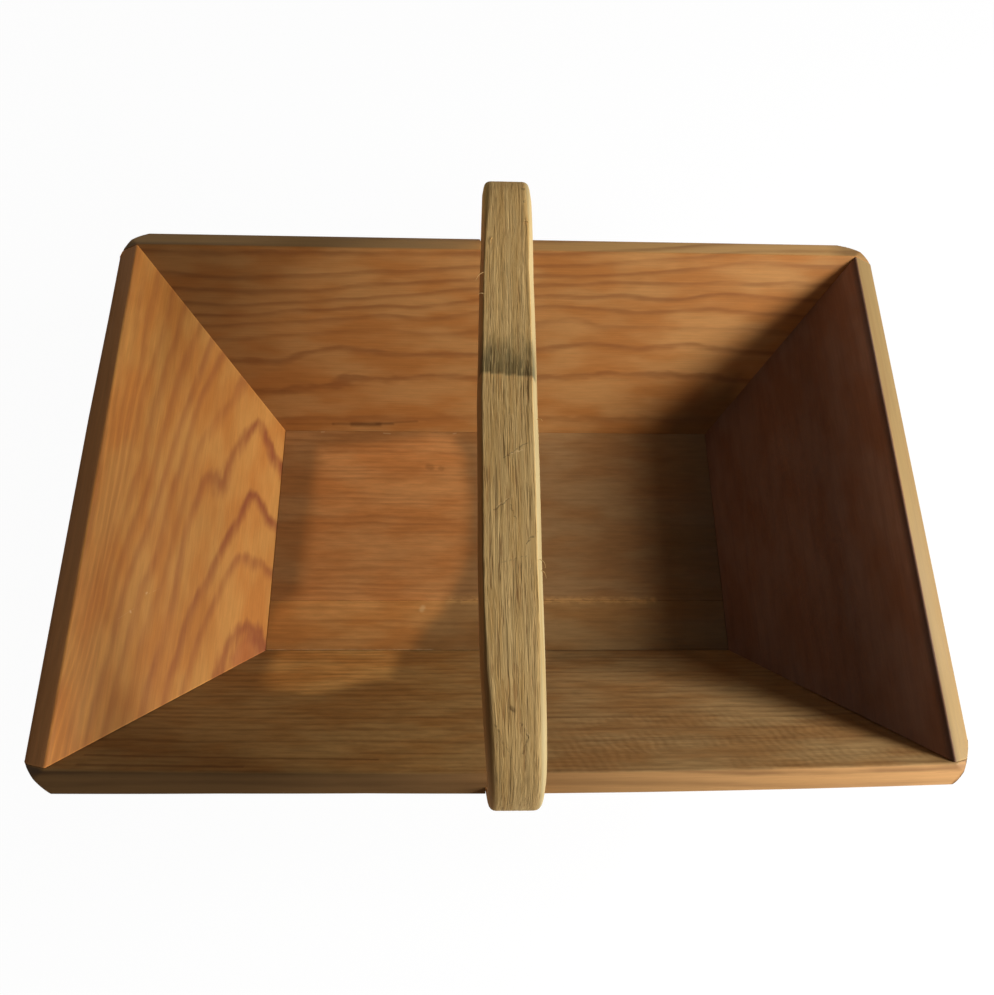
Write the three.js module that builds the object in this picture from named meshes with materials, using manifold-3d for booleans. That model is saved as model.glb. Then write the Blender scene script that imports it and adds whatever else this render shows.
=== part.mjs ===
// A splayed pine harvest basket: four boards leaning outward round a two-board floor, with a
// bent wooden strip carried over the middle as a fixed handle.
// Millimetres, +Z up, X along the length, +Y towards the back, origin under the floor's middle.
import * as THREE from 'three';
import { mergeVertices } from 'three/addons/utils/BufferGeometryUtils.js';
import Module from 'manifold-3d';

// Box
const FLOOR_LENGTH = 316; // inside, on top of the floor
const FLOOR_WIDTH = 165; // inside, on top of the floor
const FLOOR_THICKNESS = 12;
const FRONT_FLOOR_BOARD = 35; // width of the narrow floor board, on top
const DEPTH = 108; // top of the floor to the inner edge of the rim
const SPLAY = THREE.MathUtils.degToRad(37.2); // lean of every wall from upright
const WALL_THICKNESS = 12;
const RIM_FALL = THREE.MathUtils.degToRad(18); // slope of the rim's top edge, down and outward
const RIM_EASE = 2; // width taken off the rim's outer arris, along each face
const CORNER_CLIP = 9; // length sawn off each rim corner, along each side

// Handle strip
const HANDLE_WIDTH = 29.2; // on the inner face
const HANDLE_BEVEL = 2.6; // each side leans in by this much towards the outer face
const HANDLE_THICKNESS = 9;
const SHOULDER_RADIUS = 63; // outer face of the two bends
const CROWN_RISE = 23; // the crown's top above the bends' tops
const BEND_BELOW_RIM = 16.4; // start of each bend, down the wall from the rim's outer edge
const LEG_FOOT = 32; // lower end of each leg, up the wall from the ground
const HANDLE_STEPS = 112;

// Nails and screws
const NAIL_SHANK = 2.2;
const NAIL_HEAD = 3.6;
const NAIL_HEAD_THICKNESS = 1.6;
const NAIL_SET = 0.4; // heads are punched this far below the face
const CORNER_NAIL_BITE = 17; // length held by the end board
const CORNER_NAILS = 3; // up each corner
const CORNER_NAIL_MARGIN = 26; // first and last corner nail from the ground and from the rim
const FLOOR_NAIL_BITE = 20; // length held by the floor
const LONG_SIDE_NAILS = 4; // through each long wall into the floor
const LONG_SIDE_NAIL_PITCH = 72;
const REAR_BOARD_END_NAILS = 2; // through each end wall into the wide floor board
const SCREW_SHANK = 3.4;
const SCREW_HEAD = 7;
const SCREW_HEAD_DEPTH = 2.4;
const SCREW_BITE = 8.6; // length held by the wall
const LEG_SCREWS = 3;
const LEG_SCREW_MARGIN = 14; // first and last screw from the ends of the leg's straight length
const FASTENER_SIDES = 10;

// Clearances
const SEAT_GAP = 0.3; // between pieces that touch, and round nails and screws
const LEG_GAP = 0.35; // between a handle leg and the wall behind it
const CUT_REACH = 14; // cutters run this far past the faces they open

const PINE = { color: 0xa8713a, roughness: 0.5, metalness: 0 };
const END_PINE = { color: 0xb07a40, roughness: 0.5, metalness: 0 };
const FLOOR_PINE = { color: 0x96592d, roughness: 0.52, metalness: 0 };
const STRIP_WOOD = { color: 0xa88f5c, roughness: 0.85, metalness: 0 };
const STEEL = { color: 0x6f6a64, roughness: 0.45, metalness: 0.9 };

const wasm = await Module();
wasm.setup();

// Layout worked out from the driving dimensions
const lean = Math.tan(SPLAY); // outward travel of a wall for each millimetre of height
const wallRun = WALL_THICKNESS / Math.cos(SPLAY); // wall thickness measured level
const gapRun = SEAT_GAP / Math.cos(SPLAY); // seat gap measured level
const rimHeight = FLOOR_THICKNESS + DEPTH;
const rimRun = wallRun / (1 + Math.tan(RIM_FALL) * lean); // width of the rim measured level
const rimOuterHeight = rimHeight - rimRun * Math.tan(RIM_FALL);
const seamY = FRONT_FLOOR_BOARD - FLOOR_WIDTH / 2;

// Half of the inside length or width at height z
const insideX = (z) => FLOOR_LENGTH / 2 + (z - FLOOR_THICKNESS) * lean;
const insideY = (z) => FLOOR_WIDTH / 2 + (z - FLOOR_THICKNESS) * lean;
const outsideX = (z) => insideX(z) + wallRun;
const outsideY = (z) => insideY(z) + wallRun;

// A closed solid from a geometry's positions
function solidOf(geometry) {
  const bare = geometry.clone();
  bare.deleteAttribute('normal');
  bare.deleteAttribute('uv');
  const merged = mergeVertices(bare, 1e-4);
  const vertProperties = new Float32Array(merged.attributes.position.array);
  const triVerts = new Uint32Array(merged.index.array);
  return new wasm.Manifold(new wasm.Mesh({ numProp: 3, vertProperties, triVerts }));
}

function geometryOf(solid) {
  const mesh = solid.getMesh();
  const geometry = new THREE.BufferGeometry();
  geometry.setAttribute('position', new THREE.Float32BufferAttribute(mesh.vertProperties, 3));
  geometry.setIndex(new THREE.Uint32BufferAttribute(mesh.triVerts, 1));
  geometry.computeVertexNormals();
  return geometry;
}

// A board of constant profile in (y, z), whose two ends follow the half length at each height
function splayedBoard(profile, halfLength) {
  const shape = new THREE.Shape(profile.map(([y, z]) => new THREE.Vector2(y, z)));
  const geometry = new THREE.ExtrudeGeometry(shape, { depth: 1, bevelEnabled: false });
  const position = geometry.attributes.position;
  for (let i = 0; i < position.count; i += 1) {
    const y = position.getX(i);
    const z = position.getY(i);
    const side = position.getZ(i) > 0.5 ? 1 : -1;
    position.setXYZ(i, side * halfLength(z), y, z);
  }
  return geometry;
}

// Section of a wall that stands on the +Y side, with its level foot and its eased, sloping rim
function wallProfile(inside) {
  const outerEdge = inside(rimHeight) + rimRun;
  return [
    [inside(0), 0],
    [inside(0) + wallRun, 0],
    [outerEdge - RIM_EASE * Math.sin(SPLAY), rimOuterHeight - RIM_EASE * Math.cos(SPLAY)],
    [outerEdge - RIM_EASE * Math.cos(RIM_FALL), rimOuterHeight + RIM_EASE * Math.sin(RIM_FALL)],
    [inside(rimHeight), rimHeight],
  ];
}

// Section of a floor board between two edges that are given at each height
function floorProfile(low, high) {
  return [
    [low(0), 0],
    [high(0), 0],
    [high(FLOOR_THICKNESS), FLOOR_THICKNESS],
    [low(FLOOR_THICKNESS), FLOOR_THICKNESS],
  ];
}

// The strip's inner face, seen from the end: leg, bend, crown, bend and leg
const innerBend = SHOULDER_RADIUS - HANDLE_THICKNESS;
const wallOut = new THREE.Vector2(Math.cos(SPLAY), -Math.sin(SPLAY)); // out of a long wall, as (y, z)
const wallUp = new THREE.Vector2(Math.sin(SPLAY), Math.cos(SPLAY)); // up a long wall, as (y, z)
const rimCorner = new THREE.Vector2(insideY(rimHeight) + rimRun, rimOuterHeight);
const bendStart = rimCorner.clone()
  .addScaledVector(wallUp, -BEND_BELOW_RIM)
  .addScaledVector(wallOut, LEG_GAP);
const bendCentre = bendStart.clone().addScaledVector(wallOut, -innerBend);
const legLength = bendStart.y / Math.cos(SPLAY) - LEG_FOOT;
const crownReach = SHOULDER_RADIUS + CROWN_RISE; // the crown's top above the bends' centres
const crownRadius = (bendCentre.x ** 2 + crownReach ** 2 - SHOULDER_RADIUS ** 2) / (2 * CROWN_RISE);
const crownCentre = bendCentre.y + crownReach - crownRadius;
const bendEnd = Math.atan2(bendCentre.y - crownCentre, bendCentre.x);
const innerCrown = crownRadius - HANDLE_THICKNESS;
const crownLength = innerCrown * (Math.PI / 2 - bendEnd);
const bendLength = innerBend * (bendEnd + SPLAY);
const halfBow = crownLength + bendLength + legLength;

class BowLine extends THREE.Curve {
  // Even steps from the front leg's foot, over the crown, to the back leg's foot
  getPoint(t, target = new THREE.Vector3()) {
    const travel = (2 * t - 1) * halfBow;
    const along = Math.abs(travel);
    const side = Math.sign(travel);
    if (along <= crownLength) {
      const angle = Math.PI / 2 - along / innerCrown;
      return target.set(0, side * innerCrown * Math.cos(angle), crownCentre + innerCrown * Math.sin(angle));
    }
    if (along <= crownLength + bendLength) {
      const angle = bendEnd - (along - crownLength) / innerBend;
      const y = bendCentre.x + innerBend * Math.cos(angle);
      return target.set(0, side * y, bendCentre.y + innerBend * Math.sin(angle));
    }
    const leg = bendStart.clone().addScaledVector(wallUp, -(along - crownLength - bendLength));
    return target.set(0, side * leg.x, leg.y);
  }
}

// The strip carried along its line, grown by a clearance on its sides and inner face
function bowGeometry(clearance) {
  const inner = HANDLE_WIDTH / 2 + clearance;
  const outer = inner - HANDLE_BEVEL;
  const section = new THREE.Shape([
    new THREE.Vector2(-inner, -clearance),
    new THREE.Vector2(inner, -clearance),
    new THREE.Vector2(outer, HANDLE_THICKNESS),
    new THREE.Vector2(-outer, HANDLE_THICKNESS),
  ]);
  const extrudePath = new BowLine();
  return new THREE.ExtrudeGeometry(section, { steps: HANDLE_STEPS, extrudePath });
}

// Turned profiles, head uppermost at zero, grown by a clearance and lifted to open a hole
function nailProfile(length, grow, lift) {
  const shank = NAIL_SHANK / 2 + grow;
  const head = NAIL_HEAD / 2 + grow;
  return [
    [0, -length - grow],
    [shank, NAIL_SHANK * 2 - length - grow],
    [shank, -NAIL_HEAD_THICKNESS - grow],
    [head, -NAIL_HEAD_THICKNESS - grow],
    [head, lift],
    [0, lift],
  ];
}

function screwProfile(length, grow, lift) {
  const shank = SCREW_SHANK / 2 + grow;
  const head = SCREW_HEAD / 2 + grow;
  const profile = [
    [0, -length - grow],
    [shank, SCREW_SHANK * 1.5 - length - grow],
    [shank, -SCREW_HEAD_DEPTH - grow],
    [head, -grow],
  ];
  if (lift > 0) {
    profile.push([head, lift]);
  }
  profile.push([0, lift]);
  return profile;
}

function turned(profile) {
  const points = profile.map(([radius, height]) => new THREE.Vector2(radius, height));
  return new THREE.LatheGeometry(points, FASTENER_SIDES);
}

// A nail or screw driven from a point on a face, and the boards that it goes through
function fastener(name, profile, length, face, drive, sink, boards) {
  const turn = new THREE.Quaternion().setFromUnitVectors(new THREE.Vector3(0, -1, 0), drive);
  const head = face.clone().addScaledVector(drive, sink);
  return { name, profile, length, head, turn, boards };
}

// Depth that brings a tilted nail's whole head below the face
function nailSink(drive, faceNormal) {
  const cosine = Math.abs(drive.dot(faceNormal));
  return NAIL_SET + (NAIL_HEAD / 2) * Math.sqrt(1 - cosine ** 2) / cosine;
}

const sides = [
  { long: 'back_board', floor: 'floor_board_rear', word: 'back', sign: 1 },
  { long: 'front_board', floor: 'floor_board_front', word: 'front', sign: -1 },
];
const ends = [
  { end: 'right_end_board', word: 'right', sign: 1 },
  { end: 'left_end_board', word: 'left', sign: -1 },
];
const fasteners = [];

// Corner nails: through each long wall, along the middle of the end wall's thickness
for (const { long, word, sign } of sides) {
  const outward = new THREE.Vector3(0, sign * wallOut.x, wallOut.y);
  for (const { end, word: endWord, sign: endSign } of ends) {
    const endOutward = new THREE.Vector3(endSign * wallOut.x, 0, wallOut.y);
    const drive = outward.clone().negate().projectOnPlane(endOutward).normalize();
    const length = WALL_THICKNESS / Math.abs(drive.dot(outward)) + CORNER_NAIL_BITE;
    const sink = nailSink(drive, outward);
    for (let i = 0; i < CORNER_NAILS; i += 1) {
      const share = i / Math.max(CORNER_NAILS - 1, 1);
      const z = CORNER_NAIL_MARGIN + share * (rimHeight - 2 * CORNER_NAIL_MARGIN);
      const face = new THREE.Vector3(endSign * (insideX(z) + wallRun / 2), sign * outsideY(z), z);
      const name = `corner_nail_${word}_${endWord}_${i + 1}`;
      fasteners.push(fastener(name, nailProfile, length, face, drive, sink, [long, end]));
    }
  }
}

// Floor nails: level through the walls into the floor's edges
const floorNailLength = wallRun + FLOOR_NAIL_BITE;
const floorNailHeight = FLOOR_THICKNESS / 2;
for (const { long, floor, word, sign } of sides) {
  const drive = new THREE.Vector3(0, -sign, 0);
  const sink = nailSink(drive, new THREE.Vector3(0, sign * wallOut.x, wallOut.y));
  for (let i = 0; i < LONG_SIDE_NAILS; i += 1) {
    const x = (i - (LONG_SIDE_NAILS - 1) / 2) * LONG_SIDE_NAIL_PITCH;
    const face = new THREE.Vector3(x, sign * outsideY(floorNailHeight), floorNailHeight);
    const name = `floor_nail_${word}_${i + 1}`;
    fasteners.push(fastener(name, nailProfile, floorNailLength, face, drive, sink, [long, floor]));
  }
}
const rearBoardWidth = insideY(floorNailHeight) - seamY;
const frontBoardMiddle = (seamY - insideY(floorNailHeight)) / 2;
const endNailPlaces = [{ floor: 'floor_board_front', y: frontBoardMiddle }];
for (let i = 0; i < REAR_BOARD_END_NAILS; i += 1) {
  const y = seamY + rearBoardWidth * (i + 0.5) / REAR_BOARD_END_NAILS;
  endNailPlaces.push({ floor: 'floor_board_rear', y });
}
for (const { end, word, sign } of ends) {
  const drive = new THREE.Vector3(-sign, 0, 0);
  const sink = nailSink(drive, new THREE.Vector3(sign * wallOut.x, 0, wallOut.y));
  endNailPlaces.forEach(({ floor, y }, i) => {
    const face = new THREE.Vector3(sign * outsideX(floorNailHeight), y, floorNailHeight);
    const name = `floor_nail_${word}_${i + 1}`;
    fasteners.push(fastener(name, nailProfile, floorNailLength, face, drive, sink, [end, floor]));
  });
}

// Handle screws: square through each leg into the long wall behind it
const screwLength = HANDLE_THICKNESS + LEG_GAP + SCREW_BITE;
for (const { long, word, sign } of sides) {
  const outward = new THREE.Vector3(0, sign * wallOut.x, wallOut.y);
  for (let i = 0; i < LEG_SCREWS; i += 1) {
    const share = i / Math.max(LEG_SCREWS - 1, 1);
    const down = LEG_SCREW_MARGIN + share * (legLength - 2 * LEG_SCREW_MARGIN);
    const place = bendStart.clone()
      .addScaledVector(wallUp, -down)
      .addScaledVector(wallOut, HANDLE_THICKNESS);
    const face = new THREE.Vector3(0, sign * place.x, place.y);
    const name = `handle_screw_${word}_${i + 1}`;
    const drive = outward.clone().negate();
    fasteners.push(fastener(name, screwProfile, screwLength, face, drive, 0, ['handle_bow', long]));
  }
}

const basket = new THREE.Group();
basket.name = 'harvest_basket';

function addMesh(name, geometry, finish) {
  const mesh = new THREE.Mesh(geometry, new THREE.MeshStandardMaterial(finish));
  mesh.name = name;
  basket.add(mesh);
  return mesh;
}

// A wooden piece with its nail and screw holes
function addWood(name, solid, finish) {
  let drilled = solid;
  for (const { profile, length, head, turn, boards } of fasteners) {
    if (boards.includes(name)) {
      const hole = turned(profile(length, SEAT_GAP, CUT_REACH));
      hole.applyQuaternion(turn);
      hole.translate(head.x, head.y, head.z);
      drilled = drilled.subtract(solidOf(hole));
    }
  }
  addMesh(name, geometryOf(drilled), finish);
}

// Ends trimmed plumb at the end walls' rim, and each rim corner sawn off by an upright slab
const rimX = outsideX(rimOuterHeight);
const rimY = outsideY(rimOuterHeight);
function trimEnds(solid) {
  const trim = new THREE.BoxGeometry(rimX * 2, (rimY + CUT_REACH) * 2, rimHeight * 3);
  let trimmed = solid.intersect(solidOf(trim));
  const slabLength = (CORNER_CLIP + CUT_REACH) * 2;
  for (const xSign of [-1, 1]) {
    for (const ySign of [-1, 1]) {
      const slab = new THREE.BoxGeometry(slabLength, CUT_REACH, rimHeight);
      slab.rotateZ(-xSign * ySign * Math.PI / 4);
      const outward = (CUT_REACH / Math.SQRT2 - CORNER_CLIP) / 2;
      slab.translate(xSign * (rimX + outward), ySign * (rimY + outward), rimHeight);
      trimmed = trimmed.subtract(solidOf(slab));
    }
  }
  return trimmed;
}

// Long walls: full length, over the end walls' ends, notched where the strip bends over the rim
const notch = solidOf(bowGeometry(SEAT_GAP));
for (const { long, sign } of sides) {
  const geometry = splayedBoard(wallProfile(insideY), outsideX);
  if (sign < 0) {
    geometry.rotateZ(Math.PI);
  }
  addWood(long, trimEnds(solidOf(geometry)).subtract(notch), PINE);
}

// End walls: between the long walls
for (const { end, sign } of ends) {
  const geometry = splayedBoard(wallProfile(insideX), (z) => insideY(z) - gapRun);
  geometry.rotateZ(-sign * Math.PI / 2);
  addWood(end, solidOf(geometry), END_PINE);
}

// Floor boards: let in between the four walls, edge to edge along the seam
const floorHalf = (z) => insideX(z) - gapRun;
const rearFloor = floorProfile(() => seamY + SEAT_GAP / 2, (z) => insideY(z) - gapRun);
const frontFloor = floorProfile((z) => gapRun - insideY(z), () => seamY - SEAT_GAP / 2);
addWood('floor_board_rear', solidOf(splayedBoard(rearFloor, floorHalf)), FLOOR_PINE);
addWood('floor_board_front', solidOf(splayedBoard(frontFloor, floorHalf)), FLOOR_PINE);

addWood('handle_bow', solidOf(bowGeometry(0)), STRIP_WOOD);

for (const { name, profile, length, head, turn } of fasteners) {
  const mesh = addMesh(name, turned(profile(length, 0, 0)), STEEL);
  mesh.position.copy(head);
  mesh.quaternion.copy(turn);
}

export default basket;
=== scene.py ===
"""Looks of a splayed pine harvest basket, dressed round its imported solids.

The frame is the solids' own: metres, +Z up, X along the basket, +Y towards the back. Sizes in
the classes are millimetres, and turn into metres where a mesh is made.
"""

from __future__ import annotations

import logging
import math
from dataclasses import dataclass, field
from enum import Enum
from functools import reduce
from itertools import product
from typing import Any, Sequence

import bpy
import numpy as np
from mathutils import Matrix, Vector

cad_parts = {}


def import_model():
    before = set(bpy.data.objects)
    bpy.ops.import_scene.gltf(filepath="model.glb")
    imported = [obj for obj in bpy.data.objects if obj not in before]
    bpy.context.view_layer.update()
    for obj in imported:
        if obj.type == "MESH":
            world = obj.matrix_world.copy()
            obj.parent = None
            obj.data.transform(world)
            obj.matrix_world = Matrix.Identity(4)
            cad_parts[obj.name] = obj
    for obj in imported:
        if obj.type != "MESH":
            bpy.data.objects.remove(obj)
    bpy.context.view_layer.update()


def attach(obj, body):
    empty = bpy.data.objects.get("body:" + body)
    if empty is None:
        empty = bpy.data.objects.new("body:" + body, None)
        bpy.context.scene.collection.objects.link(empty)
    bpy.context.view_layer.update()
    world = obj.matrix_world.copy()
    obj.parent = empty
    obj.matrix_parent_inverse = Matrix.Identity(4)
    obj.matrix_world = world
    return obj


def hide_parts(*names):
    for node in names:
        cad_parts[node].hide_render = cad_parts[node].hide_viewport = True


Array = np.ndarray
Point = tuple[float, float]
Place = tuple[float, float, float]
Profile = tuple[Point, ...]
Colour = tuple[float, float, float, float]
Socket = bpy.types.NodeSocket

LOG = logging.getLogger("basket")
MM = 0.001
BODY = "root"
WHITE = (1.0, 1.0, 1.0, 1.0)
LEVEL = ((0.0, 1.0),)
NOTHING = ((0.0, 0.0),)

HASH_STEPS = np.array([73856093, 19349663, 83492791])
HASH_SEED = 7919
HASH_ROUNDS = ((15, 2246822519), (13, 3266489917))
HASH_MASK = 0xFFFFFFFF
HASH_HALF = 2147483648.0

FILLET_ANGLES = np.radians([45.0, 30.0, 15.0, 0.0])
EDGE_GUARD = 0.5


class Side(Enum):
    """The four walls, each with the axis it faces along and the sign of its outward direction."""

    BACK = ("y", 1)
    FRONT = ("y", -1)
    RIGHT = ("x", 1)
    LEFT = ("x", -1)

    @property
    def is_long(self) -> bool:
        """True for the two walls that run along X."""
        return self.value[0] == "y"

    def place(self, along: Array, out: Array, height: Array) -> Array:
        """Points in the frame from places along, out of and up a wall.

        Args:
            along: X for a long wall, Y for an end wall.
            out: distance from the basket's middle.
            height: Z.

        Returns:
            An array of points, one a row.
        """
        outward = self.value[1] * out
        columns = (along, outward, height) if self.is_long else (outward, along, height)
        return np.stack(columns, axis=-1)


def srgb(*levels: int) -> Colour:
    """A colour given as it looks on a screen, 0 to 255, turned into linear light."""
    shown = np.array(levels) / 255.0
    return (*np.where(shown <= 0.04045, shown / 12.92, ((shown + 0.055) / 1.055) ** 2.4).tolist(), 1.0)


def unit(vectors: Array) -> Array:
    """Vectors brought to a length of one."""
    return vectors / np.linalg.norm(vectors, axis=-1, keepdims=True)


def smooth_step(low: float, high: float, value: Array) -> Array:
    """Zero below low, one above high, and 3t squared less 2t cubed between them."""
    share = np.clip((value - low) / (high - low), 0.0, 1.0)
    return share * share * (3.0 - 2.0 * share)


def read_profile(profile: Profile, place: Array) -> Array:
    """A profile's values at places: straight between its points, level past its ends."""
    return np.interp(place, *zip(*profile))


def value_noise(points: Array, seed: int) -> Array:
    """Smooth noise: random values on a unit lattice, blended between each cell's eight corners.

    Args:
        points: places in lattice units, one a row.
        seed: picks the set of random values.

    Returns:
        A number from -1 to 1 for each point.
    """
    base = np.floor(points)
    share = points - base
    share = share * share * (3.0 - 2.0 * share)
    cell = base.astype(np.int64)
    total = np.zeros(len(points))
    for corner in product((0, 1), repeat=3):
        key = (cell + corner) @ HASH_STEPS + seed * HASH_SEED
        for shift, factor in HASH_ROUNDS:
            key = ((key ^ (key >> shift)) * factor) & HASH_MASK
        value = (key ^ (key >> 16)) / HASH_HALF - 1.0
        total += np.where(corner, share, 1.0 - share).prod(axis=1) * value
    return total


def layered_noise(points: Array, seed: int, layers: int = 3) -> Array:
    """Value noise summed over layers, each twice as fine and half as strong as the last.

    Args:
        points: places in the first layer's lattice units, one a row.
        seed: picks the set of random values.
        layers: how many layers.

    Returns:
        A number from -1 to 1 for each point.
    """
    scales = 2.0 ** np.arange(layers)
    total = sum(value_noise(points * scale, seed + i) / scale for i, scale in enumerate(scales))
    return total / np.sum(1.0 / scales)


def stations(low: float, high: float, radius: float, pitch: float, extra: Sequence[float] = ()) -> Array:
    """Sample places across a block: close together over each rounded edge, even between them.

    Args:
        low: one end.
        high: the other end.
        radius: size of the rounded edges.
        pitch: largest step between them.
        extra: places to add.

    Returns:
        The places in order.
    """
    lip = radius * (1.0 - np.tan(FILLET_ANGLES))
    guard = radius + EDGE_GUARD
    count = max(2, math.ceil((high - low - 2.0 * guard) / pitch) + 1)
    even = np.linspace(low + guard, high - guard, count)
    return np.unique(np.round(np.concatenate([low + lip, high - lip, even, extra]), 5))


@dataclass
class Skin:
    """A closed surface as arrays: points in millimetres, faces of four corners, and fans."""

    points: Array
    faces: Array
    fans: list[Array] = field(default_factory=list)

    @staticmethod
    def block(axes: Sequence[Array], radii: Array) -> Skin:
        """The outside of a block's lattice, with its edges rounded.

        Points on the block's faces are kept, and each is brought to one radius from the inner
        block that is smaller by that radius all round. Radii may differ between the axes.

        Args:
            axes: sample places along the three axes.
            radii: size of the rounding along each axis.

        Returns:
            The skin in the block's own axes.
        """
        counts = tuple(len(axis) for axis in axes)
        outer = np.zeros(counts, bool)
        for axis in range(3):
            np.moveaxis(outer, axis, 0)[[0, -1]] = True
        ticket = np.full(counts, -1)
        ticket[outer] = np.arange(outer.sum())
        points = np.stack(np.meshgrid(*axes, indexing="ij"), -1)[outer]
        faces = []
        for axis in range(3):
            sheets = np.moveaxis(ticket, axis, 0)
            for sheet, turned in ((sheets[-1], axis == 1), (sheets[0], axis != 1)):
                corners = (sheet[:-1, :-1], sheet[1:, :-1], sheet[1:, 1:], sheet[:-1, 1:])
                quads = np.stack(corners, -1).reshape(-1, 4)
                faces.append(quads[:, ::-1] if turned else quads)
        low = np.array([axis[0] for axis in axes]) / radii + 1.0
        high = np.array([axis[-1] for axis in axes]) / radii - 1.0
        scaled = points / radii
        core = np.clip(scaled, low, high)
        return Skin((core + unit(scaled - core)) * radii, np.concatenate(faces))

    @staticmethod
    def tube(rings: Array) -> Skin:
        """Closed rings joined in order, with both ends closed by fans to their middles.

        Args:
            rings: points by ring, place in the ring, and axis.

        Returns:
            The skin, whose last two points are the middles of the ends.
        """
        count, size, _ = rings.shape
        ticket = np.arange(count * size).reshape(count, size)
        ahead = np.roll(ticket, -1, axis=1)
        quads = np.stack((ticket[:-1], ahead[:-1], ahead[1:], ticket[1:]), -1).reshape(-1, 4)
        middles = rings[[0, -1]].mean(axis=1)
        points = np.concatenate([rings.reshape(-1, 3), middles])
        first = np.stack((ahead[0], ticket[0], np.full(size, count * size)), -1)
        last = np.stack((ticket[-1], ahead[-1], np.full(size, count * size + 1)), -1)
        return Skin(points, quads, [first, last])

    def volume(self) -> float:
        """A third of each face's area times its distance from the origin, summed.

        Returns:
            The volume, below zero where faces point in.
        """
        triangles = [self.faces[:, [0, 1, 2]], self.faces[:, [0, 2, 3]], *self.fans]
        corners = self.points[np.concatenate(triangles)]
        return float(np.einsum("ij,ij->", corners[:, 0], np.cross(corners[:, 1], corners[:, 2])) / 6.0)

    def to_object(self, name: str, channels: dict[str, Array]) -> bpy.types.Object:
        """Makes the object, faces outward, smooth shaded, with its point attributes.

        Args:
            name: the object's name.
            channels: attribute values by name, one number or three numbers a point.

        Returns:
            The linked object, with its place in its mesh.
        """
        turned = self.volume() < 0.0
        loops = (self.faces, *self.fans)
        polygons = [face for group in loops for face in (group[:, ::-1] if turned else group).tolist()]
        mesh = bpy.data.meshes.new(name)
        mesh.from_pydata((self.points * MM).tolist(), [], polygons)
        for label, values in channels.items():
            kind, key = ("FLOAT_VECTOR", "vector") if values.ndim == 2 else ("FLOAT", "value")
            attribute = mesh.attributes.new(label, kind, "POINT")
            attribute.data.foreach_set(key, np.ascontiguousarray(values, np.float32).ravel())
        mesh.polygons.foreach_set("use_smooth", np.ones(len(mesh.polygons), bool))
        mesh.update()
        piece = bpy.data.objects.new(name, mesh)
        bpy.context.scene.collection.objects.link(piece)
        return piece


def settle(piece: bpy.types.Object, slot: str, material: bpy.types.Material, *nodes: str) -> None:
    """Dresses a finished piece and ties it to the frame.

    Args:
        piece: the object.
        slot: the record's material slot, not used.
        material: its finish.
        nodes: the solids that it stands for.
    """
    piece.data.materials.append(material)
    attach(piece, BODY)
    if nodes:
        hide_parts(*nodes)
    LOG.info("%s: %d faces", piece.name, len(piece.data.polygons))


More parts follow.
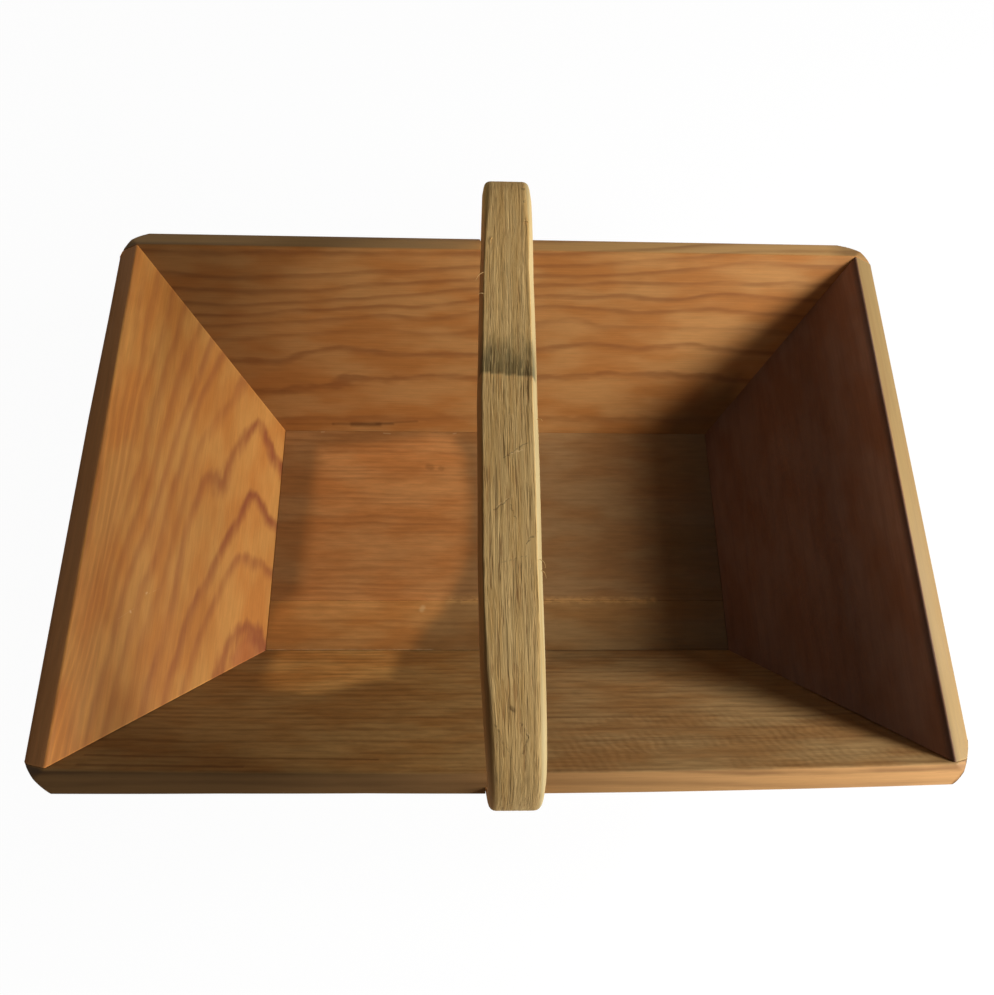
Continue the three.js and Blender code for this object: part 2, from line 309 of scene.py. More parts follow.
class Graph:
    """Short hands for wiring the nodes of one material, or of the room."""

    def __init__(self, owner: bpy.types.Material | bpy.types.World) -> None:
        """Starts with no nodes.

        Args:
            owner: the material or room.
        """
        self.owner = owner
        owner.use_nodes = True
        self.tree = owner.node_tree
        self.tree.nodes.clear()

    def add(self, kind: str, inputs: dict[Any, Any] | None = None, **settings: Any) -> bpy.types.Node:
        """Adds a node, with its settings and its inputs.

        Args:
            kind: the node type's name after ShaderNode.
            inputs: a socket to link or a constant to set, by input name or number.
            settings: properties of the node.

        Returns:
            The node.
        """
        node = self.tree.nodes.new("ShaderNode" + kind)
        for key, value in settings.items():
            setattr(node, key, value)
        for key, value in (inputs or {}).items():
            if isinstance(value, bpy.types.NodeSocket):
                self.tree.links.new(value, node.inputs[key])
            else:
                node.inputs[key].default_value = value
        return node

    def attribute(self, name: str) -> bpy.types.Node:
        """A point attribute of the piece's own mesh."""
        return self.add("Attribute", attribute_name=name)

    def object_place(self) -> Socket:
        """Places in the piece's own frame, in millimetres."""
        place = self.add("TexCoord").outputs["Object"]
        return self.add("VectorMath", {0: place, "Scale": 1.0 / MM}, operation="SCALE").outputs[0]

    def parts(self, vector: Socket) -> tuple[Socket, ...]:
        """The three numbers of a vector."""
        return tuple(self.add("SeparateXYZ", {0: vector}).outputs)

    def math(self, operation: str, first: Any, second: Any = 0.0, third: Any = 0.0) -> Socket:
        """One sum on numbers."""
        inputs = {0: first, 1: second, 2: third}
        return self.add("Math", inputs, operation=operation).outputs[0]

    def product(self, *factors: Any) -> Socket:
        """Numbers multiplied in turn."""
        return reduce(lambda total, factor: self.math("MULTIPLY", total, factor), factors)

    def vector(self, operation: str, first: Any, second: Any = (0.0, 0.0, 0.0)) -> Socket:
        """One sum on vectors."""
        return self.add("VectorMath", {0: first, 1: second}, operation=operation).outputs[0]

    def dot(self, place: Socket, heading: Place) -> Socket:
        """How far a place lies along a heading."""
        return self.add("VectorMath", {0: place, 1: heading}, operation="DOT_PRODUCT").outputs["Value"]

    def noise(self, place: Socket, cells: Sequence[float], detail: float = 2.0, rough: float = 0.5) -> Socket:
        """Noise from 0 to 1.

        Args:
            place: where it is read.
            cells: sizes of its cells along the place's three axes.
            detail: how many finer layers it has.
            rough: how strong they are.

        Returns:
            The noise.
        """
        scaled = self.vector("MULTIPLY", place, tuple(1.0 / size for size in cells))
        inputs = {"Vector": scaled, "Scale": 1.0, "Detail": detail, "Roughness": rough}
        return self.add("TexNoise", inputs).outputs[0]

    def shaken(self, place: Socket, cell: float, amount: float) -> Socket:
        """A place moved about by noise.

        Args:
            place: the place.
            cell: size of the noise's cells.
            amount: range of the move.

        Returns:
            The new place.
        """
        scaled = self.vector("MULTIPLY", place, (1.0 / cell,) * 3)
        swing = self.add("TexNoise", {"Vector": scaled, "Scale": 1.0, "Detail": 2.0}).outputs["Color"]
        swing = self.vector("SUBTRACT", swing, (0.5, 0.5, 0.5))
        return self.vector("ADD", place, self.vector("MULTIPLY", swing, (amount,) * 3))

    def span(self, value: Any, low: float, high: float, to_low: float = 0.0, to_high: float = 1.0) -> Socket:
        """A smooth step from to_low to to_high as the value goes from low to high."""
        inputs = {"Value": value, 1: low, 2: high, 3: to_low, 4: to_high}
        return self.add("MapRange", inputs, interpolation_type="SMOOTHSTEP").outputs[0]

    def mix(self, share: Any, first: Any, second: Any, blend: str = "MIX") -> Socket:
        """Two colours mixed by a share."""
        inputs = {0: share, 6: first, 7: second}
        return self.add("Mix", inputs, data_type="RGBA", blend_type=blend).outputs[2]

    def tinted(self, share: Any, colour: Any, tint: Any) -> Socket:
        """A colour multiplied by a tint, as far as a share says."""
        return self.mix(share, colour, self.mix(1.0, colour, tint, "MULTIPLY"))

    def shaded(self, colour: Any, level: Socket, share: Any = 1.0) -> Socket:
        """A colour multiplied by a number, as far as a share says."""
        grey = self.add("CombineColor", {0: level, 1: level, 2: level}).outputs[0]
        return self.mix(share, colour, grey, "MULTIPLY")

    def bump(self, height: Socket, strength: float, distance: float, normal: Socket | None = None) -> Socket:
        """A normal tilted by a height.

        Args:
            height: the height, whose full range stands the distance proud.
            strength: how strongly it tilts.
            distance: millimetres.
            normal: the normal to tilt, or the surface's own.

        Returns:
            The new normal.
        """
        inputs: dict[Any, Any] = {"Strength": strength, "Distance": distance * MM, "Height": height}
        if normal is not None:
            inputs["Normal"] = normal
        return self.add("Bump", inputs).outputs[0]

    def close(self, output: str, shader: bpy.types.Node) -> None:
        """Links a shader to an output node."""
        self.tree.links.new(shader.outputs[0], self.add(output).inputs[0])

    def finish(self, inputs: dict[str, Any]) -> bpy.types.Material:
        """Closes the material with a Principled shader."""
        self.close("OutputMaterial", self.add("BsdfPrincipled", inputs))
        return self.owner


@dataclass(frozen=True)
class GrainLine:
    """One dark growth line, traced on a board's inner face by its turning points.

    Grain places, here and below, are distances along, across and into a board.
    """

    ring: float
    points: Profile

    def knots(self, step: float) -> Array:
        """Places along the line: its points, and even steps between them.

        Args:
            step: about how long a step is.

        Returns:
            The places, one a row.
        """
        runs = [
            np.linspace(start, end, max(1, round(math.dist(start, end) / step)), endpoint=False)
            for start, end in zip(self.points, self.points[1:])
        ]
        return np.concatenate([*runs, self.points[-1:]])


@dataclass(frozen=True)
class RingField:
    """Growth rings through a board, as a smooth sheet laid through traced lines.

    The ring number is a thin plate spline: a plane plus r squared log r from every knot of the
    traced lines, with lengths along the grain shortened. Depth shifts the sheet up the board.
    """

    lines: tuple[GrainLine, ...]
    knot_step: float = 10.0
    shorten: float = 0.35
    unit: float = 100.0
    depth_shift: float = 0.5
    easing: float = 0.0006

    def sheet(self, along: Array, across: Array) -> Array:
        """The ring number on the traced face.

        Args:
            along: places along the grain.
            across: places across it.

        Returns:
            A number for each place.
        """
        traced = [line.knots(self.knot_step) for line in self.lines]
        rings = np.repeat([line.ring for line in self.lines], [len(knots) for knots in traced])
        scale = np.array([self.shorten, 1.0]) / self.unit
        knots = np.concatenate(traced) * scale
        places = np.stack([along, across], -1) * scale
        count = len(knots)
        plane = np.column_stack([np.ones(count), knots])
        system = np.zeros((count + 3, count + 3))
        system[:-3, :-3] = self.kernel(knots, knots) + self.easing * np.eye(count)
        system[:-3, -3:] = plane
        system[-3:, :-3] = plane.T
        weights = np.linalg.solve(system, np.concatenate([rings, np.zeros(3)]))
        flat = np.column_stack([np.ones(len(places)), places]) @ weights[-3:]
        return flat + self.kernel(places, knots) @ weights[:-3]

    @staticmethod
    def kernel(places: Array, knots: Array) -> Array:
        """r squared log r between every place and every knot."""
        square = ((places[:, None, :] - knots[None, :, :]) ** 2).sum(-1)
        return 0.5 * square * np.log(np.maximum(square, 1e-12))

    def at(self, grain: Array) -> Array:
        """The ring number at places along, across and into the board."""
        return self.sheet(grain[:, 0], grain[:, 1] + grain[:, 2] * self.depth_shift)


@dataclass(frozen=True)
class StraightRings:
    """Nearly straight growth rings: distance across over a pitch, swayed by slow noise.

    A cell's first size is a share of the length, and an uneven cell's second a share of the pitch.
    """

    pitch: float
    sway: float
    length: float
    seed: int
    uneven: float = 0.6
    depth_shift: float = 0.6
    slow_cells: Place = (1.0, 45.0, 60.0)
    quick_cells: Place = (0.3, 14.0, 30.0)
    uneven_cells: Place = (4.0, 2.2, 60.0)
    quick_share: float = 0.25
    quick_seed: int = 40
    uneven_seed: int = 80

    def at(self, grain: Array) -> Array:
        """The ring number.

        Args:
            grain: grain places.

        Returns:
            A number for each place.
        """
        across = grain[:, 1] + grain[:, 2] * self.depth_shift
        place = np.stack([grain[:, 0] / self.length, across, grain[:, 2]], -1)
        quick = layered_noise(place / self.quick_cells, self.seed + self.quick_seed)
        sway = layered_noise(place / self.slow_cells, self.seed) + self.quick_share * quick
        spacing = place / self.uneven_cells / [1.0, self.pitch, 1.0]
        uneven = value_noise(spacing, self.seed + self.uneven_seed)
        return (across + self.sway * sway) / self.pitch + self.uneven * uneven


@dataclass(frozen=True)
class Patch:
    """A lighter or darker area of a board's shown face, with a soft edge and its share of the tint."""

    outline: Profile
    gain: float
    soft: float
    tint: float = 0.0

    def share(self, grain: Array) -> Array:
        """How far each place is inside: distance to the outline, by its side, over the soft width.

        Args:
            grain: grain places.

        Returns:
            A share from 0 to 1 for each place.
        """
        corners = np.array(self.outline)
        ahead = np.roll(corners, -1, axis=0)
        run = ahead - corners
        place = grain[:, None, :2]
        travel = np.clip(((place - corners) * run).sum(-1) / (run**2).sum(-1), 0.0, 1.0)
        gap = np.linalg.norm(place - corners - travel[..., None] * run, axis=-1).min(axis=1)
        spans = (corners[:, 1] > place[..., 1]) != (ahead[:, 1] > place[..., 1])
        rise = np.where(run[:, 1] == 0.0, 1e-9, run[:, 1])
        left = place[..., 0] < corners[:, 0] + (place[..., 1] - corners[:, 1]) * run[:, 0] / rise
        inside = (spans & left).sum(axis=1) % 2 == 1
        return smooth_step(-self.soft, self.soft, np.where(inside, gap, -gap))


@dataclass(frozen=True)
class Tone:
    """How light a board is from place to place: along it, across it, and in patches."""

    along: Profile = LEVEL
    across: Profile = LEVEL
    patches: tuple[Patch, ...] = ()
    tint_along: Profile = NOTHING
    shown_depth: Point = (0.5, 4.0)
    cloud: float = 0.05
    cloud_cells: Place = (70.0, 26.0, 26.0)
    cloud_seed: int = 3

    def shown(self, grain: Array) -> Array:
        """One on the shown face, and nothing a few millimetres into the board."""
        return 1.0 - smooth_step(*self.shown_depth, grain[:, 2])

    def at(self, grain: Array) -> Array:
        """The tone, about 1.

        Args:
            grain: grain places.

        Returns:
            A factor for each place.
        """
        tone = read_profile(self.along, grain[:, 0]) * read_profile(self.across, grain[:, 1])
        for patch in self.patches:
            tone = tone * (1.0 + patch.gain * patch.share(grain))
        cloud = layered_noise(grain / self.cloud_cells, self.cloud_seed)
        return 1.0 + (tone - 1.0) * self.shown(grain) + self.cloud * cloud

    def tint(self, grain: Array) -> Array:
        """How far the finish's tint colours each place."""
        shares = (patch.tint * patch.share(grain) for patch in self.patches)
        return self.shown(grain) * np.clip(sum(shares, read_profile(self.tint_along, grain[:, 0])), 0.0, 1.0)


@dataclass(frozen=True)
class Corner:
    """How much of one outside corner of the rim is worked off along and across, and how roundly."""

    signs: tuple[int, int]
    reach: Point
    power: float
    set_in: Point = (0.0, 0.0)


@dataclass(frozen=True)
class BoxShape:
    """Sizes that the boards share. A pair of flares is back and front, or right and left."""

    floor_length: float = 316.0
    floor_width: float = 165.0
    floor_thickness: float = 12.0
    front_floor_board: float = 35.0
    depth: float = 108.0
    splay: float = math.radians(37.2)
    wall_thickness: float = 12.0
    rim_fall: float = math.radians(18.0)
    seat_gap: float = 0.3
    shown_gap: float = 0.06
    long_flares: Point = (0.9, 0.4)
    end_flares: Point = (0.4, 1.5)
    corners: tuple[Corner, ...] = (
        Corner((-1, 1), (21.0, 25.0), 1.7, (1.2, 0.0)),
        Corner((1, 1), (27.0, 21.0), 1.7),
        Corner((-1, -1), (18.5, 18.5), 1.26),
        Corner((1, -1), (16.0, 28.0), 1.55, (0.0, 1.3)),
    )
    rim_ease: float = 0.5
    ease_from: float = 7.5
    ease_run: float = 4.5

    @property
    def lean(self) -> float:
        """Outward travel of a wall for each millimetre of height."""
        return math.tan(self.splay)

    @property
    def wall_run(self) -> float:
        """Wall thickness measured level."""
        return self.wall_thickness / math.cos(self.splay)

    @property
    def gap_run(self) -> float:
        """Seat gap measured level."""
        return self.seat_gap / math.cos(self.splay)

    @property
    def floor_seam(self) -> float:
        """Place across the basket of the seam between the floor boards."""
        return self.front_floor_board - self.floor_width / 2.0

    @property
    def rim_height(self) -> float:
        """Height of the rim's inner edge."""
        return self.floor_thickness + self.depth

    @property
    def rim_outer_height(self) -> float:
        """Height of the rim's outer edge."""
        run = self.wall_run / (1.0 + math.tan(self.rim_fall) * self.lean)
        return self.rim_height - run * math.tan(self.rim_fall)

    @property
    def rim_half(self) -> Point:
        """Half of the rim's outside length and width."""
        level = self.rim_outer_height
        return (self.half_length(level) + self.wall_run, self.half_width(level) + self.wall_run)

    def half_length(self, height: Array | float) -> Array | float:
        """Half of the inside length at a height."""
        return self.floor_length / 2.0 + (height - self.floor_thickness) * self.lean

    def half_width(self, height: Array | float) -> Array | float:
        """Half of the inside width at a height."""
        return self.floor_width / 2.0 + (height - self.floor_thickness) * self.lean

    def easing(self, past: Array) -> Array:
        """How far the rim's outer part is eased off: a square of the distance past its start."""
        return self.rim_ease * np.clip((past - self.ease_from) / self.ease_run, 0.0, 1.0) ** 2

    def rim_drop(self, past: Array, flare: Array | float) -> Array:
        """How far a rim's top has fallen at a distance past its inner edge.

        Args:
            past: level distance outward.
            flare: how far the rim's outer edge stands out past the straight board.

        Returns:
            The drop, never below zero: a straight fall, with the outer part eased off.
        """
        run = (self.rim_height - self.rim_outer_height) / math.tan(self.rim_fall)
        past = np.maximum(past, 0.0) * run / (run + flare)
        return past * math.tan(self.rim_fall) + self.easing(past)

    def end_drop(self, along: Array) -> Array:
        """How far the end walls' rims have fallen at places along the basket."""
        flare = np.where(along > 0.0, *self.end_flares)
        return self.rim_drop(np.abs(along) - self.half_length(self.rim_height), flare)

    def rim_level(self, points: Array) -> Array:
        """Height of the rims' tops in plan: the lower of the long and the end walls' falls."""
        past_long = np.abs(points[:, 1]) - self.half_width(self.rim_height)
        return self.rim_height - np.maximum(self.end_drop(points[:, 0]), self.rim_drop(past_long, 0.0))

    def flares(self, along_sign: int, across_sign: int) -> Array:
        """How far the rims at one corner stand out past their straight boards.

        Args:
            along_sign: 1 for the right end, -1 for the left.
            across_sign: 1 for the back, -1 for the front.

        Returns:
            The distances along and across.
        """
        flares = np.array([self.end_flares[along_sign < 0], self.long_flares[across_sign < 0]])
        set_in = [corner.set_in for corner in self.corners if corner.signs == (along_sign, across_sign)]
        return flares - set_in[0]

    def trimmed(self, points: Array) -> Array:
        """Points with the rim's four outside corners worked off in plan.

        A corner's outline is a superellipse: the powers of the shares along its two reaches sum to
        one. A point outside it is drawn straight to the outline, towards the corner's middle.

        Args:
            points: places in the frame.

        Returns:
            The new places.
        """
        trimmed = points.copy()
        for corner in self.corners:
            signs, reach = np.array(corner.signs), np.array(corner.reach)
            middle = np.array(self.rim_half) + self.flares(*corner.signs) - reach
            share = (trimmed[:, :2] * signs - middle) / reach
            size = (np.maximum(share, 0.0) ** corner.power).sum(axis=1) ** (1.0 / corner.power)
            beyond = (share > 0.0).all(axis=1) & (size > 1.0)
            kept = (middle + share[beyond] / size[beyond, None] * reach) * signs
            trimmed[np.flatnonzero(beyond), :2] = kept
        return trimmed


def board_channels(grain: Array, rings: RingField | StraightRings, tone: Tone) -> dict[str, Array]:
    """Point attributes that the wood finishes read.

    Args:
        grain: grain places.
        rings: the board's growth rings.
        tone: how light each place is.

    Returns:
        The grain places, and growth: the ring number, the rings a millimetre, and the tone.
    """
    step = 0.5
    number = rings.at(grain)
    across = (rings.at(grain + [0.0, step, 0.0]) - number) / step
    along = (rings.at(grain + [step, 0.0, 0.0]) - number) / step
    slope = np.hypot(across, along)
    return {"grain": grain, "growth": np.stack([number, slope, tone.at(grain)], -1)}


@dataclass
class Wall:
    """One leaning wall board: a rounded block sheared to its lean, its foot and its rim.

    The lattice is a plain block of about the board's size, which the skin then stretches. A zone
    holds where its close sampling starts and stops, from the edge, and the step.
    """

    box: BoxShape
    side: Side
    node: str
    slot: str
    rings: RingField | StraightRings
    finish: PineFinish
    pitch: float = 2.4
    depth_pitch: float = 1.2
    edge_radius: float = 0.9
    end_radius: float = 0.3
    lattice_height: float = 147.0
    long_lattice: float = 240.0
    end_lattice: float = 160.0
    corner_zone: Place = (30.0, 0.6, 0.8)
    crest_zone: Place = (8.0, 1.4, 0.45)
    flare_zone: Point = (0.8, 1.0)
    flare_reach: float = 30.0
    top_zone: Point = (0.984, 0.996)
    top_depth: Point = (0.1, 1.2)
    trimmed_share: float = 0.993
    line_gain: Profile = LEVEL
    bow: float = 0.0
    bow_half: float = 245.0
    worn: float = 0.0
    worn_edge: Point = (0.1, 1.3)
    # Painted shade and light on the rim's top: a factor by place along the wall.
    rim_painted_shading: Profile = LEVEL
    rim_swell: Profile = NOTHING
    rim_lines: float = 0.0
    notch_at: float | None = None
    notch_half: float = 14.2
    notch_steps: Place = (-0.3, 0.0, 0.5)
    tone: Tone = Tone()

    def half_floor(self) -> float:
        """Half of the floor's size in the direction that the wall faces."""
        return (self.box.floor_width if self.side.is_long else self.box.floor_length) / 2.0

    def half_run(self, height: Array) -> Array:
        """Half length: an end wall's reaches to the long walls, a long wall's past the end walls.

        Args:
            height: Z.

        Returns:
            The half length at each height.
        """
        box = self.box
        if not self.side.is_long:
            return box.half_width(height) - box.shown_gap
        return np.minimum(box.half_length(height) + box.wall_run, box.rim_half[0])

    def rim_flare(self) -> float:
        """How far the rim stands out past the straight board."""
        flares = self.box.long_flares if self.side.is_long else self.box.end_flares
        return flares[self.side.value[1] < 0]

    def lattice(self) -> tuple[Skin, float]:
        """A rounded block, closely sampled at its ends, its crest and its notch's edges.

        Returns:
            The block's skin and half its length.
        """
        reach = self.long_lattice if self.side.is_long else self.end_lattice
        start, stop, step = self.corner_zone
        corner = np.arange(reach - start, reach - stop, step)
        extra = np.concatenate([corner, -corner])
        if self.notch_at is not None:
            steps = self.notch_half + np.array(self.notch_steps)
            edges = np.concatenate([self.notch_at + steps, self.notch_at - steps])
            extra = np.concatenate([extra, edges * reach / self.box.rim_half[0]])
        start, stop, step = self.crest_zone
        crest = np.arange(self.lattice_height - start, self.lattice_height - stop, step)
        radii = np.array([self.end_radius, self.edge_radius, self.edge_radius])
        axes = (
            stations(-reach, reach, radii[0], self.pitch, extra),
            stations(0.0, self.lattice_height, radii[1], self.pitch, crest),
            stations(0.0, self.box.wall_thickness, radii[2], self.depth_pitch),
        )
        return Skin.block(axes, radii), reach

    def skin(self) -> tuple[Skin, Array, Array]:
        """The board's skin.

        A point's share of the height runs from the foot, level with the underside, to the rim,
        which falls outward. A long wall's rim also falls over the end walls, level with theirs.

        Returns:
            The skin, its grain places along, up and into the board, and how far each is on the rim.
        """
        box = self.box
        sine, cosine = math.sin(box.splay), math.cos(box.splay)
        block, reach = self.lattice()
        along, share, depth = block.points[:, 0], block.points[:, 1] / self.lattice_height, block.points[:, 2]
        foot = depth * sine / cosine - box.floor_thickness / cosine
        rim = box.depth / cosine + depth * math.tan(box.splay - box.rim_fall) - box.easing(depth)
        up = foot + share * (rim - foot)
        out = self.half_floor() + up * sine + depth * cosine
        level = box.floor_thickness + up * cosine - depth * sine
        half = self.half_run(level)
        along = along / reach * half
        near_rim = smooth_step(*self.flare_zone, share)
        on_rim = smooth_step(*self.top_zone, share) * smooth_step(*self.top_depth, depth)
        if self.side.is_long:
            sign = self.side.value[1]
            end_flare = np.where(along > 0.0, box.flares(1, sign)[0], -box.flares(-1, sign)[0])
            near_end = smooth_step(half - self.flare_reach, half, np.abs(along))
            along = along + end_flare * near_rim * near_end
            hip = np.minimum(level, box.rim_height - box.end_drop(along))
            on_rim = np.maximum(on_rim, smooth_step(0.0, 0.8, level - hip))
            level = hip
        grain = np.stack([along, up, depth], -1)
        flare = self.rim_flare() + read_profile(self.rim_swell, along)
        out = out + flare * near_rim * depth / box.wall_thickness
        out = out + self.bow * (1.0 - (along / self.bow_half) ** 2) * smooth_step(0.1, 1.0, share)
        if self.notch_at is not None:
            out, level = self.notched(along, out, level)
        places = self.side.place(along, out, level)
        points = box.trimmed(places)
        moved = (np.abs(points - places).max(axis=1) > 1e-6) & (share > self.trimmed_share)
        points[moved, 2] = box.rim_level(points[moved])
        return Skin(points, block.faces), grain, on_rim

    def notched(self, along: Array, out: Array, level: Array) -> tuple[Array, Array]:
        """Brings the rim's outer edge inside the strip's bend, where the strip crosses it.

        Args:
            along: place along the wall.
            out: distance from the basket's middle.
            level: Z.

        Returns:
            The new out and level.
        """
        centre_out, centre_level, radius = HandleBow.bend_centre(self.box)
        away = np.hypot(out - centre_out, level - centre_level)
        pull = np.minimum(1.0, (radius - self.box.seat_gap) / np.maximum(away, 1e-6))
        angle = np.arctan2(level - centre_level, out - centre_out)
        inside = (np.abs(along - self.notch_at) <= self.notch_half) & (angle > -self.box.splay)
        pull = np.where(inside, pull, 1.0)
        return centre_out + (out - centre_out) * pull, centre_level + (level - centre_level) * pull

    def build(self) -> None:
        """Makes the board, dressed, in place of its solid."""
        skin, grain, on_rim = self.skin()
        channels = board_channels(grain, self.rings, self.tone)
        # The rim's top takes its painted shade and light along the wall.
        channels["growth"][:, 2] *= 1.0 + on_rim * (read_profile(self.rim_painted_shading, grain[:, 0]) - 1.0)
        gain = read_profile(self.line_gain, grain[:, 1])
        tint = self.tone.tint(grain) * (1.0 - on_rim)
        # The rim share, the line gain and the tint share; on the front and the right boards the tint is
        # painted light or shade.
        channels["rim_line_tint"] = np.stack([on_rim, gain * (1.0 + self.rim_lines * on_rim), tint], -1)
        inset = self.half_run(skin.points[:, 2]) - np.abs(grain[:, 0])
        channels["growth"][:, 2] *= 1.0 + self.worn * (1.0 - smooth_step(*self.worn_edge, inset))
        piece = skin.to_object(self.node + "_dressed", channels)
        settle(piece, self.slot, self.finish.material(self.node), self.node)


@dataclass
class FloorBoard:
    """One floor board: a rounded block whose outer edges lean with the walls."""

    box: BoxShape
    node: str
    front: bool
    rings: StraightRings
    finish: PineFinish
    pitch: float = 2.4
    depth_pitch: float = 3.0
    edge_radius: float = 0.22
    seam_gap: float = 0.06
    line_along: Profile = LEVEL
    tone: Tone = Tone()

    def build(self) -> None:
        """Makes the board, dressed, in place of its solid."""
        box = self.box
        side = -1.0 if self.front else 1.0
        seam = box.floor_seam + side * self.seam_gap / 2.0
        width = abs(side * box.floor_width / 2.0 - seam)
        half = box.floor_length / 2.0
        axes = (
            stations(-half, half, self.edge_radius, self.pitch),
            stations(0.0, width, self.edge_radius, self.pitch),
            stations(0.0, box.floor_thickness, self.edge_radius, self.depth_pitch),
        )
        block = Skin.block(axes, np.full(3, self.edge_radius))
        height = block.points[:, 2]
        outer = side * (box.half_width(height) - box.gap_run)
        across = seam + block.points[:, 1] / width * (outer - seam)
        along = block.points[:, 0] / half * (box.half_length(height) - box.gap_run)
        grain = np.stack([along, across, box.floor_thickness - height], -1)
        skin = Skin(np.stack([along, across, height], -1), block.faces)
        channels = board_channels(grain, self.rings, self.tone)
        gain = read_profile(self.line_along, along)
        # The tint share here paints the floor's sunlight.
        channels["rim_line_tint"] = np.stack([np.zeros(len(grain)), gain, self.tone.tint(grain)], -1)
        piece = skin.to_object(self.node + "_dressed", channels)
        settle(piece, "floor_pine", self.finish.material(self.node), self.node)


@dataclass
class HandleBow:
    """The bent strip: a rounded trapezoid carried over leg, bend, crown, bend and leg."""

    box: BoxShape
    finish: StripFinish | None
    width: float = 29.2
    thickness: float = 9.0
    shoulder: float = 63.0
    crown_rise: float = 23.0
    below_rim: float = 16.4
    leg_foot: float = 32.0
    leg_gap: float = 0.35
    bevels: Point = (2.1, 2.9)
    corner: float = 0.7
    bend_bevels: Point = (1.6, 1.8)
    bend_corner: float = 3.6
    bend_zone: Point = (95.0, 150.0)
    section_counts: tuple[int, ...] = (17, 15, 76, 15)
    step: float = 1.0
    left_edge: Profile = (
        (-175.0, 0.0), (-150.0, 1.2), (-125.0, 2.0), (-93.0, 1.7), (-49.0, 1.0), (0.0, 0.5), (80.0, 0.0),
    )
    drift: Profile = (
        (-190.0, 2.6), (-158.0, 0.6), (-80.0, -2.1), (0.0, -3.2), (80.0, -2.3), (105.0, -1.4), (190.0, 0.7),
    )
    swell: Profile = (
        (-240.0, 0.99), (-150.0, 0.975), (0.0, 1.02), (100.0, 1.0), (160.0, 1.01), (240.0, 1.01),
    )
    fibre_cells: Place = (30.0, 0.8, 1.0)
    fibre_height: float = 0.06
    ridge_cells: Place = (42.0, 2.3, 1.0)
    ridge_height: float = 0.03
    tear_cells: Place = (12.0, 0.7, 1.0)
    tear_level: float = 0.55
    tear_depth: float = 0.2
    stain_start: float = 12.0
    stain_slant: float = 0.08
    stain_fade: Point = (16.0, 42.0)
    screw_margin: float = 14.0
    screw_count: int = 3
    screw_head: float = 7.0
    bore_depth: float = 1.6

    @staticmethod
    def bend_centre(box: BoxShape) -> Place:
        """Where a bend turns, square to the top of a leg's inner face.

        Args:
            box: sizes of the boards.

        Returns:
            The middle, as distance out and height, and the inner radius.
        """
        bow = HandleBow(box, None)
        start = bow.bend_start()
        inner = bow.shoulder - bow.thickness
        return (start[0] - inner * math.cos(box.splay), start[1] + inner * math.sin(box.splay), inner)

    def bend_start(self) -> Point:
        """Where a leg's inner face starts to bend, below the rim and just off the wall.

        Returns:
            Distance out and height.
        """
        box = self.box
        sine, cosine = math.sin(box.splay), math.cos(box.splay)
        return (
            box.rim_half[1] - self.below_rim * sine + self.leg_gap * cosine,
            box.rim_outer_height - self.below_rim * cosine - self.leg_gap * sine,
        )

    def lengths(self) -> dict[str, float]:
        """The crown's arc meets each bend's arc where both have one direction.

        Returns:
            Lengths of the inner face's half crown, bend and leg, and the crown's radius and middle.
        """
        start = self.bend_start()
        centre_out, centre_up, inner = HandleBow.bend_centre(self.box)
        reach = self.shoulder + self.crown_rise
        crown = (centre_out**2 + reach**2 - self.shoulder**2) / (2.0 * self.crown_rise)
        crown_up = centre_up + reach - crown
        turn = math.atan2(centre_up - crown_up, centre_out)
        return {
            "turn": turn,
            "crown_radius": crown - self.thickness,
            "crown_up": crown_up,
            "crown": (crown - self.thickness) * (math.pi / 2.0 - turn),
            "bend": inner * (turn + self.box.splay),
            "leg": start[1] / math.cos(self.box.splay) - self.leg_foot,
        }

    def screw_drops(self) -> Array:
        """Distances of the screws below the bend."""
        return np.linspace(self.screw_margin, self.lengths()["leg"] - self.screw_margin, self.screw_count)

    def line(self) -> Array:
        """The inner face's line: an arc over the crown, an arc round each bend, and straight legs.

        Returns:
            Rows: travel from the crown, + towards the back, Y, Z, and the outward direction in Y and Z.
        """
        sine, cosine = math.sin(self.box.splay), math.cos(self.box.splay)
        centre_out, centre_up, inner = HandleBow.bend_centre(self.box)
        size = self.lengths()
        crown_length, bend_length = size["crown"], size["bend"]
        half = crown_length + bend_length + size["leg"]
        travel = np.linspace(-half, half, int(2.0 * half / self.step) | 1)
        away, side = np.abs(travel), np.sign(travel)
        on_crown = away <= crown_length
        down = np.maximum(away - crown_length - bend_length, 0.0)
        bend_angle = size["turn"] - np.clip(away - crown_length, 0.0, bend_length) / inner
        crown_angle = math.pi / 2.0 - np.minimum(away, crown_length) / size["crown_radius"]
        angle = np.where(on_crown, crown_angle, bend_angle)
        radius = np.where(on_crown, size["crown_radius"], inner)
        out = np.where(on_crown, 0.0, centre_out) + radius * np.cos(angle) - down * sine
        up = np.where(on_crown, size["crown_up"], centre_up) + radius * np.sin(angle) - down * cosine
        return np.stack([travel, side * out, up, side * np.cos(angle), np.sin(angle)])

    def section(self, bevels: Point, ease: float) -> Array:
        """The trapezoid's outline as (across, out): straight runs between corners of parabola arcs.

        Args:
            bevels: how far the left and the right upper edges lean in.
            ease: length of each upper corner's arc along its two runs.

        Returns:
            The outline's points in order.
        """
        wide, high = self.width / 2.0, self.thickness
        corners = np.array([(-wide, 0.0), (wide, 0.0), (wide - bevels[1], high), (bevels[0] - wide, high)])
        eases = (self.corner, self.corner, ease, ease)
        share = np.linspace(0.0, 1.0, 5)[:, None]
        outline = []
        for i, count in enumerate(self.section_counts):
            here, after, before = corners[i], corners[(i + 1) % 4], corners[i - 1]
            reach, reach_after = eases[i], eases[(i + 1) % 4]
            back, ahead = unit(before - here), unit(after - here)
            outline.append(here + reach * (back * (1.0 - share) ** 2 + ahead * share**2))
            run = np.linalg.norm(after - here) - reach - reach_after
            steps = np.linspace(0.0, 1.0, count + 2)[1:-1, None]
            outline.append(here + ahead * reach + steps * ahead * run)
        return np.concatenate(outline)

